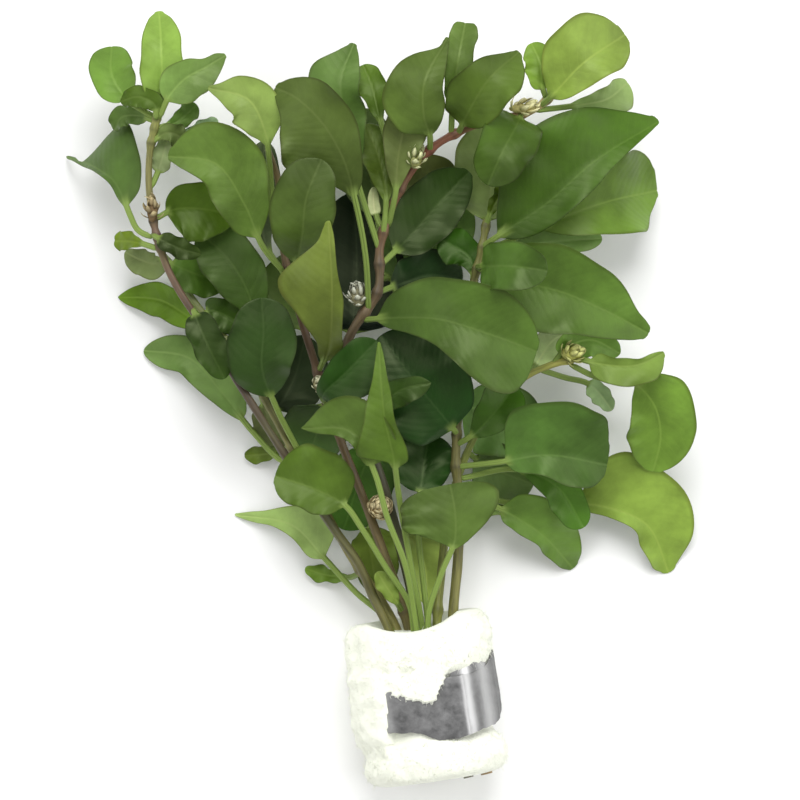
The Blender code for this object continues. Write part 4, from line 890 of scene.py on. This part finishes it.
# Upper right shoot.
# Broad leaves that spread flat to the right from the end of the tallest stem and from the right one.
leaf("leaf_corner_bright", [(40.25, 73, 30), (44, 76.5, 34), (50, 82.8, 38), (61.3, 90.8, 33)],
    ((3, 6.8, 11, 10.8, 7.4, 3.2), (2, 4, 5.8, 7, 5.6, 2.8)), (128, 152, 64), "leaf_bright", start=0.14,
    light=(-0.17, -0.16))
leaf("leaf_corner_under", [(39, 72, 30), (50.25, 73.5, 26), (56.5, 74.75, 25), (62.25, 79.25, 20)],
    (3.4, 5.5), (134, 158, 93), "leaf_underside", start=0.35, small=True, light=(-0.11, 0.34),
    under=(121, 134, 81))
leaf("leaf_right_large", [(25.75, 38, 27), (30.25, 41, 32), (41.5, 48.5, 34), (52.75, 58.5, 33.5),
    (70, 69.4, 26)], ((6, 14, 16.5, 13, 6.5, 2.4), (3, 5, 5.6, 3.8, 1.8, 0.7)), (49, 78, 8), start=0.12,
    fold=(2, 8), bend=(6, 18), light=(0.15, 0.12))
leaf("leaf_right_fold", [(35.5, 71, 30), (34, 67.5, 38), (30.5, 61, 42.5), (27, 53, 42)], (8, 7.5),
    (54, 78, 18), start=0.12, belly=(0.5, 0.5), light=(-0.19, 0.36))
leaf("leaf_right_lobe", [(25, 36, 26), (30.25, 38.5, 27), (40.25, 43, 26), (54, 48.4, 23), (70, 52.5, 6)],
    ((2, 4.5, 8, 11.5, 10.2, 6), (2.5, 5.5, 8.8, 10.4, 5.2, 1.8)), (82, 109, 35), start=0.3,
    light=(0.25, -0.14))
leaf("leaf_right_band", [(23.5, 28, 25), (23, 35, 22), (15.25, 40.25, 21)], (5, 5), (37, 71, 8), "leaf_dark",
    start=0.2, small=True, light=(0.45, 0.64))
leaf("leaf_right_back", [(0.5, 33.5, 27), (8, 41, 22), (15, 49, 21), (22.6, 57, 18)],
    ((5, 7.4, 8.2, 7.8, 5, 2), (3.5, 6, 7.2, 6.6, 4.2, 1.8)), (29, 51, 8), "leaf_dark", start=0.16,
    light=(0.02, 0.33))
leaf("leaf_centre_back", [(-0.5, 26.5, 27), (6, 29, 21), (13, 31, 18), (21, 30, 13)], (7, 7), (13, 40, 12),
    "leaf_dark", start=0.2, belly=(0.5, 0.5), light=(0.22, 0.34))

# Middle of the bunch.
# The largest leaf and its neighbours, from shaded ones low down to the long-stalked ones out of the wool.
leaf("leaf_centre_large", [(-3.8, 19.8, 26.6), (5.25, 20.25, 34), (15.25, 19.75, 41), (27.75, 16, 43),
    (39.3, 11.75, 38)], ((4.5, 8, 11, 12, 8, 3.5), (2, 3.6, 7, 12, 13.4, 8.5)), (63, 87, 30), start=0.09,
    light=(0.12, 0.14))
small_leaf("leaf_centre_round", [(24.5, 33, 26), (27.5, 33, 43.5), (34, 32.75, 51), (41.75, 31.75, 50)],
    (6.5, 6.5), (67, 96, 32), "leaf_green", start=0.35, belly=(0.55, 0.55), tip=0.5, light=(-0.41, 0.18))
leaf("leaf_right_wide", [(24, 33, 26), (32.75, 29.75, 32), (46, 26.5, 34), (56.5, 22, 31), (67.4, 16.4, 26)],
    ((6, 10.6, 11.2, 8.8, 3.8, 2), (6, 11, 10.7, 7.8, 4.6, 2.2)), (72, 99, 35), start=0.1, light=(0.17, 0.15))
leaf("leaf_centre_dark", [(19.75, -9, 21), (17, -5.5, 27), (10, 3, 28.5), (0.5, 16, 25.5)], (11.8, 13),
    (14, 50, 8), "leaf_dark", start=0.12, belly=(0.42, 0.5), fold=(0, 4), bend=(8, 8), light=(0.26, 0.04))
leaf("leaf_centre_olive", [(19.5, -11.5, 20.5), (24, -8.5, 25), (29, -3.25, 26), (34, 3.5, 24)], (6, 6),
    (47, 80, 12), "leaf_dark", start=0.25, small=True, light=(0.49, -0.05))
leaf("leaf_centre_low", [(13.4, -63.5, 15), (12.3, -56, 16), (11, -45, 18), (9.75, -30.25, 18.5),
    (10.8, -20, 17.5), (12.6, -8.6, 14.5)], (8.6, 7.6), (20, 52, 8), "leaf_dark", start=0.725,
    belly=(0.5, 0.55), bend=(18, 4), light=(0.18, 0.01))
leaf("leaf_middle_yellow", [(-15, 7, 24), (-12.25, 14, 36), (-11.6, 25, 44), (-12.4, 44.25, 47)],
    ((1.5, 3.2, 9, 14, 3.6, 1.2), (2, 3, 3, 1.6, 1.2, 0.6)), (84, 97, 36), "leaf_bright", start=0.12,
    light=(-0.05, 0.22))
leaf("leaf_middle_dark", [(-13, -1.5, 22.5), (-14, 1, 29), (-8.5, 6.25, 33), (-0.5, 14.5, 34)], (5.5, 8.2),
    (25, 56, 8), "leaf_dark", start=0.15, tip=0.6, small=True, light=(-0.45, 0.22))
leaf("leaf_middle_folded", [(11.6, -62.5, 17.5), (10.5, -55, 18.5), (7.5, -39, 23), (4.75, -22.75, 30),
    (3.75, -15, 37), (1.5, -5, 41.5), (0, 14.2, 42)],
    ((1.4, 8.6, 5.4, 2.6, 1.2, 0.5), (3, 2.8, 2.8, 2, 1.1, 0.5)), (70, 94, 27), "leaf_bright", start=0.6,
    light=(0.09, 0.07))
leaf("leaf_middle_low", [(10.1, -62.5, 21), (9, -55, 22), (6.5, -41.25, 28), (2, -29.25, 32), (-1, -18.5, 35),
    (-6, -8.6, 37), (-19.5, -7.25, 32)], (2.5, 9.5), (73, 96, 35), start=0.677, belly=(0.4, 0.35), tip=0.9,
    lobe=(1, 1.2), light=(0.13, 0.03))
leaf("leaf_middle_inner", [(-3.5, -6, 22), (1.2, -1, 33), (6, 2.5, 36.5), (13, 4, 37.5)], (3.2, 4),
    (48, 71, 24), start=0.2, tip=0.8, small=True, light=(-0.41, 0.43))
leaf("leaf_low_round", [(8.85, -59.5, 19), (7.75, -52, 20), (1.5, -41.75, 23.5), (-4.5, -32, 26.5),
    (-8, -27, 27.5), (-16, -22.5, 28), (-26, -19.2, 27)],
    ((3, 5, 6, 6, 4.8, 2.2), (6, 9.5, 11, 10.4, 7.6, 3.8)), (64, 86, 23), start=0.67, light=(-0.06, 0.19))
leaf("leaf_low_pale", [(4.8, -61.5, 13.8), (2.2, -56, 12.6), (-6, -48.5, 9.5), (-14.25, -39.5, 8),
    (-21.3, -32.2, 5), (-36.5, -29.2, 0)], ((2, 2.6, 2.4, 1.8, 1, 0.4), (6.5, 9.5, 5.2, 2.2, 1.2, 0.5)),
    (146, 173, 96), "leaf_underside", start=0.518, light=(-0.12, -0.2), under=(108, 134, 68))
leaf("leaf_low_centre", [(13.35, -63.25, 21), (12.25, -55.75, 22), (15.75, -43.25, 25), (19, -34.75, 27),
    (19, -28.25, 28), (17.75, -21.25, 28)], ((8, 12.4, 14, 14.2, 13, 8), (1.5, 4, 8.6, 12, 10.6, 6.5)),
    (75, 97, 39), start=0.629, light=(0.17, -0.14))

# Right side.
# Leaves that spread over the right side, down to the bright one that rests on the table.
small_leaf("leaf_side_yellow", [(49.5, 10.2, 26), (55.25, 8.75, 29), (64, 8.4, 29), (71.25, 11.6, 26)],
    ((1.6, 2.2, 2.2, 1.6, 1.2, 0.6), (2.4, 4.2, 5.2, 5.6, 3.6, 1.2)), (101, 125, 51), "leaf_bright",
    start=0.16, light=(-0.07, 0.38))
leaf("leaf_side_round", [(48, 8.5, 25), (55.25, 5.25, 24), (62.5, 4.8, 24), (68.6, -1, 22), (70.6, -9, 18),
    (68.8, -18.25, 14)], ((7.4, 10.2, 10, 8, 5, 2.4), (3, 5.5, 8.4, 8.4, 6.2, 2.8)), (98, 129, 46), start=0.4,
    light=(0.24, 0.07))
leaf("leaf_low_right_bright", [(20, -22, 18), (32, -26, 9), (45.25, -26, 9), (56.5, -27, 10), (66.6, -31, 8),
    (73.2, -43.8, 0)], ((8.5, 14.6, 14, 10.6, 5.8, 2.2), (1.5, 2, 3, 4.4, 4, 1.7)), (111, 135, 53),
    "leaf_bright", start=0.5, fold=(0, 8), bend=(2, 18), light=(0.16, 0.01))
leaf("leaf_side_dark", [(19.5, -17, 19.5), (30.25, -15.75, 25), (41.5, -14, 29), (57, -16.5, 25)],
    ((8, 12.4, 14.2, 13.6, 11.5, 5.5), (2.5, 4, 6, 7.5, 6.5, 3.5)), (67, 98, 37), "leaf_dark", start=0.34,
    light=(-0.2, 0.07))
leaf("leaf_side_under", [(20, -20, 18), (35.25, -17.75, 19), (44, -21.5, 18), (51.5, -32.25, 14)], (4.5, 5),
    (66, 104, 29), "leaf_dark", start=0.4, small=True, light=(0.24, 0.04))
leaf("leaf_low_right", [(20.25, -24, 18), (29.75, -27.25, 13), (39.5, -33, 11), (49, -42.75, 0)],
    ((5.5, 8, 8.6, 7, 4.5, 2), (2.2, 3, 3.2, 3, 2.4, 1.2)), (94, 126, 51), start=0.3, light=(0.22, 0.3))

# Small young leaves.
# Little leaves that grow straight from the joints of the stems, one with them.
leaf("leaflet_left_olive", [(-55.2, 37.5, 25), (-59.75, 39, 24), (-66.25, 39.75, 18)], (2.6, 2.6),
    (94, 116, 23), "leaf_dark", start=0.3, small=True, light=(-0.02, 0.83))
leaf("leaflet_left_a", [(-56, 67.5, 28), (-51, 69, 27.5), (-45.5, 73.5, 26)], (2.8, 2.8), (81, 110, 45),
    "leaf_dark", start=0.25, small=True, light=(-0.57, 0.69))
leaf("leaflet_left_b", [(-56.6, 65.5, 27.5), (-49, 66, 25.5), (-40.25, 69.75, 23)], (2, 2), (133, 159, 118),
    start=0.4, small=True)
leaf("leaflet_left_c", [(-57, 64, 27), (-52.5, 66.5, 29), (-48.5, 65, 28)], (2.8, 2.8), (76, 91, 44),
    "leaf_dark", start=0.25, small=True, light=(-0.86, 0.26))
leaf("leaflet_low_left", [(-22.5, -12.2, 15), (-24, -12.6, 8), (-28, -13.8, 3.5), (-34, -14.25, 1.5)],
    (2.2, 2.2), (87, 107, 32), start=0.4, small=True, light=(0.21, -0.87))
leaf("leaflet_low", [(-4.5, -43.5, 12.5), (-8, -45, 5.5), (-12.5, -44.6, 2.5), (-18.75, -42.8, 2)],
    (2.1, 2.1), (97, 126, 42), start=0.4, small=True, light=(-0.22, -0.61))
leaf("leaflet_low_upright", [(6, -53.5, 14), (3.8, -50, 19.5), (-0.5, -43.25, 20.8)], (2.6, 2.6),
    (111, 131, 56), "leaf_bright", start=0.35, small=True, light=(0.33, 0.04))
small_leaf("leaflet_corner", [(42, 74.5, 30), (40.7, 78, 33), (40.25, 83.5, 33), (38, 88.75, 31)], (4, 4),
    (112, 143, 50), "leaf_bright", start=0.25, light=(-0.6, -0.09))
small_leaf("flower_slim", [(1.2, 42, 27.2), (-0.2, 44.5, 26.2), (-1.2, 48, 26), (-1.4, 53, 26.5)], (1.5, 1.5),
    (190, 198, 146), "leaf_underside", start=0.4, wave=0)
small_leaf("leaflet_right_curl", [(25, 35, 26), (38, 38.6, 21.5), (48, 39.8, 19), (56, 40.2, 16)], (5, 3.6),
    (92, 119, 59), "leaf_underside", start=0.25, belly=(0.45, 0.6), light=(0.36, 0.17))
leaf("leaflet_right_inner", [(26.5, 43, 27), (28.5, 48, 29), (31.5, 53.5, 30)], (2, 2), (70, 91, 16),
    start=0.3, small=True)

# Leaves low in the bunch.
# Young leaves in the shade under the others, which also grow straight from the joints of the stems.
# They fill the gaps among the leaves, and their colours carry painted light and shade: very dark in the
# deepest gaps and pale where the gaps are lit.
small_leaf("leaflet_gap_upper", [(-7.2, 15.8, 25.5), (-6.6, 18.5, 13), (-5.6, 34, 9), (-6.5, 52, 9)],
    (12.8, 12.8), (8, 22, 15), start=0.15, belly=(0.45, 0.4), light=(-0.22, 0.08))
small_leaf("leaflet_gap_crown", [(0.3, 40, 27.3), (-0.6, 47, 17), (-2.4, 58, 14), (-3.5, 73, 15)], (8.1, 8.1),
    (78, 96, 52), start=0.3)
small_leaf("leaflet_gap_right", [(-0.1, 30, 26.9), (4, 31.5, 13), (12, 39, 8), (22, 50, 8)], (11.9, 10.6),
    (108, 138, 72), start=0.24, light=(0.1, 0.33))
small_leaf("leaflet_gap_shoot", [(26.6, 42.5, 27), (27.5, 48, 14), (29, 60, 10), (31, 72, 9)], (10.6, 8.8),
    (109, 126, 72), light=(-0.34, -0.07))
small_leaf("leaflet_left_over", [(-46.5, 22.5, 25), (-45.5, 20, 29), (-42.5, 13, 30.5), (-38.5, 5, 29)],
    (4.8, 4.2), (32, 53, 8), start=0.15, light=(0.01, -0.46))
small_leaf("leaflet_left_side", [(-56.6, 41, 25), (-54, 39.6, 28), (-49.5, 37.5, 28), (-44.5, 36.2, 26.5)],
    (2.6, 2.6), (33, 49, 8), "leaf_green", light=(0.57, 0.37))
small_leaf("leaflet_gap_low", [(-27.2, -2.9, 16), (-25, -1.5, 8), (-21.5, 5, 5), (-18.5, 16, 5)], (8.2, 8.2),
    (30, 44, 24), light=(0.23, 0.36))
small_leaf("leaflet_gap_middle", [(-2.5, -10.5, 22.2), (-3, -15, 10), (-5.5, -22, 6), (-9, -33, 5)],
    (9.8, 7.5), (77, 119, 41), light=(-0.41, 0))
small_leaf("leaflet_foot_left", [(-1.6, -31.2, 17.8), (-2.6, -34, 9), (-1.6, -42, 5), (0.5, -51, 4.5)],
    (7.5, 4.6), (100, 120, 45), start=0.15, belly=(0.4, 0.5), light=(-0.12, 0.69))
small_leaf("leaflet_foot_right", [(4.2, -34.5, 18.7), (8.5, -35.5, 9), (11.5, -42, 5), (12, -52, 4.5)],
    (6, 4.2), (141, 162, 78), start=0.15, belly=(0.45, 0.45), light=(0.2, -0.52))
small_leaf("leaflet_gap_side", [(19.9, -2, 22.3), (25, -2.5, 12), (32, -5, 8), (41, -9.5, 6)], (9.4, 11.2),
    (107, 143, 73), start=0.1, belly=(0.5, 0.45), light=(-0.52, -0.06))
small_leaf("leaflet_side_upper", [(43.5, 8.7, 25.3), (47, 12.8, 25.5), (52, 14.8, 24.5), (60.5, 11.5, 21)],
    (4, 4.4), (128, 169, 73), "leaf_green", start=0.15, belly=(0.45, 0.45), light=(-0.37, 0.29))
small_leaf("leaflet_side_small", [(40.2, 7.4, 24), (46.5, 5.4, 19), (53, 3.6, 15.5), (58.6, -2.8, 14)],
    (2.6, 2.8), (143, 169, 117), start=0.62, light=(-0.24, -0.38))
small_leaf("leaflet_left_d", [(-56.9, 53, 25.4), (-55.2, 57, 24.6), (-53.7, 62, 24.5), (-52.6, 66, 24)],
    (2.6, 2.6), (128, 143, 96), start=0.3, light=(0, 0.77))
small_leaf("leaflet_left_low", [(-53.6, 35.6, 13), (-56, 34, 12), (-59.5, 34.8, 10.5), (-64, 37, 8.5)],
    (4.2, 2.6), (105, 119, 71), "leaf_green", start=0.1, belly=(0.35, 0.5), light=(-0.63, -0.61))
small_leaf("leaflet_left_fill", [(-43.8, 21.4, 14.3), (-42, 22.2, 15.8), (-38.5, 21, 15.8),
    (-34.2, 18.5, 15)], (4.2, 4.8), (47, 72, 18), start=0.1, light=(0.47, 0.77))
small_leaf("leaflet_gap_yellow", [(-18, 15.4, 25.5), (-20, 20, 17), (-21.5, 27, 13), (-21.5, 37, 12)], (9, 9),
    (64, 84, 32), light=(-0.2, -0.2))
small_leaf("leaflet_gap_stems", [(-29.6, 1.2, 16), (-28.2, -4.5, 8.5), (-26.8, -9.5, 4.5), (-24.5, -14, 4)],
    (3.2, 4.5), (110, 119, 74))
small_leaf("leaflet_gap_left", [(-13.4, -0.8, 22.4), (-14.4, -3.5, 12), (-16, -9.5, 7), (-18.5, -16, 5.5)],
    (8.1, 9.4), (65, 90, 44), start=0.15, light=(0.04, -0.72))
small_leaf("leaflet_gap_under", [(22.4, -13.6, 15.2), (26, -16, 9), (31, -18.5, 6.5), (39, -21.5, 5.5)],
    (7.5, 9.4), (84, 108, 54))
small_leaf("leaflet_left_hook", [(-55.8, 69.3, 28.5), (-60, 70.8, 25), (-64.2, 70.6, 23), (-66.4, 67.2, 20)],
    (2.4, 3), (82, 108, 48), light=(-0.06, 0.9))
small_leaf("leaflet_gap_tall", [(5.2, 52.6, 28), (4.7, 53.2, 18), (10.5, 54, 12), (19, 58.5, 10)], (8.1, 7.5),
    (96, 104, 54), start=0.15, light=(0.3, -0.3))
small_leaf("leaflet_side_back", [(38.2, 6.5, 23.2), (40.5, 10.5, 17), (44, 15, 14), (52, 17.5, 12)], (4.5, 5),
    (189, 209, 145), start=0.15, light=(0.06, -0.87))
small_leaf("leaflet_low_back", [(20.1, -26, 18.1), (24, -25, 9), (29.5, -24.5, 5), (38, -25.5, 4)], (4, 5),
    (162, 192, 107))

# The flower heads.
# Small round papery heads sit in the leaf joints.  Each is a core covered with pointed pale bracts that
# overlap in spirals like the scales of a bud and open a little at the tips.
GOLDEN_TURN = math.pi * (3 - math.sqrt(5))
# Shares of a head's size: its core, and where its bracts start.
CORE_SHARE = 0.9
FOOT_SHARE = 0.78

papery, tree, papery_shader = new_finish("papery", {"Specular IOR Level": 0.3})
papery_grain = add_grain(tree, own_place(tree), 1300.0, 4.0, darkest=0.75, palest=1.2)
wire(tree, papery_shader, {"Base Color": scaled(tree, painted(tree, "tone", "Color"), papery_grain["Shade"]),
                           "Roughness": ranged(tree, papery_grain["Grain"], 0.0, 1.0, 0.55, 0.85)})

# Along a bract: how far along, how wide and how far it bulges outward there.
BRACT_ROWS = ((0.0, 0.6, 0.0), (0.25, 0.95, 0.06), (0.5, 1.0, 0.1), (0.75, 0.78, 0.1), (0.92, 0.4, 0.06))


def flower_head(name, centre, size, bracts=30, long=2.0, wide=1.0, lean=(0.0, 0.0, 1.0),
                foot_tone=(130, 125, 70), tip_tone=(205, 200, 160)):
    """A head of pointed bracts round a core.

    size is its half-extents; long and wide are the reach and the half-width of a bract; lean is where its
    top points; foot_tone and tip_tone are the colours of a bract at its ends.
    """
    top = Vector(lean).normalized()
    turn_up = Vector((0, 0, 1)).rotation_difference(top)
    rng = np.random.default_rng(sum(ord(letter) for letter in name))
    points, faces, tones = [], [], []
    foot_colour, tip_colour = np.array(to_linear(foot_tone)), np.array(to_linear(tip_tone))
    for index in range(bracts):
        share = (index + 0.5) / bracts
        height = 1 - 1.8 * share
        ring = math.sqrt(max(0.0, 1 - height * height))
        turn = index * GOLDEN_TURN + float(rng.uniform(-0.25, 0.25))
        out = turn_up @ Vector((math.cos(turn) * ring, math.sin(turn) * ring, height))
        foot = Vector([centre[k] + out[k] * size[k] * FOOT_SHARE for k in range(3)])
        upward = top - out * top.dot(out)
        upward = upward.normalized() if upward.length > 1e-3 else Vector((1, 0, 0))
        aim = (out * float(rng.uniform(0.1, 0.4)) + upward).normalized()
        across = aim.cross(out).normalized() if aim.cross(out).length > 1e-3 else Vector((0, 1, 0))
        over = across.cross(aim).normalized()
        over = over if over.dot(out) > 0 else -over
        reach = long * float(rng.uniform(0.75, 1.15))
        broad = 0.85 * wide * float(rng.uniform(0.8, 1.15))
        pale = float(rng.uniform(0.8, 1.12))
        start = len(points)
        for t, width, bulge in BRACT_ROWS:
            middle = foot + aim * reach * t + over * reach * bulge
            tone = (foot_colour + (tip_colour - foot_colour) * min(1.0, t * 1.15)) * pale
            for a, b in ((-1, 0), (0, 0.3), (1, 0), (0, 0.06)):
                points.append(middle + across * broad * width * a + over * broad * width * b)
                tones.append((*tone, 1.0))
        points.append(foot + aim * reach + over * reach * 0.02)
        tones.append((*(tip_colour * pale), 1.0))
        faces += spike_faces(start, len(BRACT_ROWS), 4)
    core = bmesh.new()
    bmesh.ops.create_icosphere(core, subdivisions=3, radius=1.0)
    start = len(points)
    for vert in core.verts:
        points.append(Vector([centre[k] + vert.co[k] * size[k] * CORE_SHARE for k in range(3)]))
        tones.append((*foot_colour, 1.0))
    faces += [tuple(start + vert.index for vert in face.verts) for face in core.faces]
    core.free()
    head = new_piece(name, points, faces, papery)
    paint(head, "tone", tones, 'FLOAT_COLOR')


flower_head("head_left_shoot", (-56.6, 47, 26.5), (1.5, 3.2, 1.5), bracts=14, long=3.2, lean=(-0.1, 0.9, 0.3),
            foot_tone=(112, 92, 62), tip_tone=(182, 168, 126))
flower_head("head_crown", (9.0, 60.2, 33.2), (2.0, 3.2, 2.1), bracts=26, long=2.6, lean=(0.1, 0.8, 0.6),
            foot_tone=(150, 152, 96), tip_tone=(214, 218, 168))
flower_head("head_middle", (-5.2, 25.6, 27.6), (2.2, 2.9, 2.1), bracts=24, long=2.8, lean=(-0.1, 0.9, 0.3),
            foot_tone=(132, 128, 98), tip_tone=(204, 206, 188))
flower_head("head_inner", (-15.2, 3.6, 26), (1.4, 1.8, 1.5), bracts=16, long=1.8, lean=(0.2, 0.7, 0.7),
            foot_tone=(134, 128, 92), tip_tone=(210, 210, 176))
flower_head("head_low", (0.3, -27.0, 22.6), (3.0, 3.0, 2.7), bracts=60, long=1.7, wide=1.15,
            lean=(0.2, 0.3, 0.9), foot_tone=(176, 156, 112), tip_tone=(220, 206, 160))
flower_head("head_corner", (35.6, 72.4, 32), (3.6, 1.3, 1.5), bracts=18, long=3.4, lean=(0.85, 0.5, 0.1),
            foot_tone=(182, 174, 112), tip_tone=(226, 222, 172))
flower_head("head_side", (47.8, 11.4, 28), (2.6, 1.9, 1.9), bracts=24, long=3.0, wide=1.15,
            lean=(0.9, 0.3, 0.3), foot_tone=(166, 168, 92), tip_tone=(204, 206, 130))
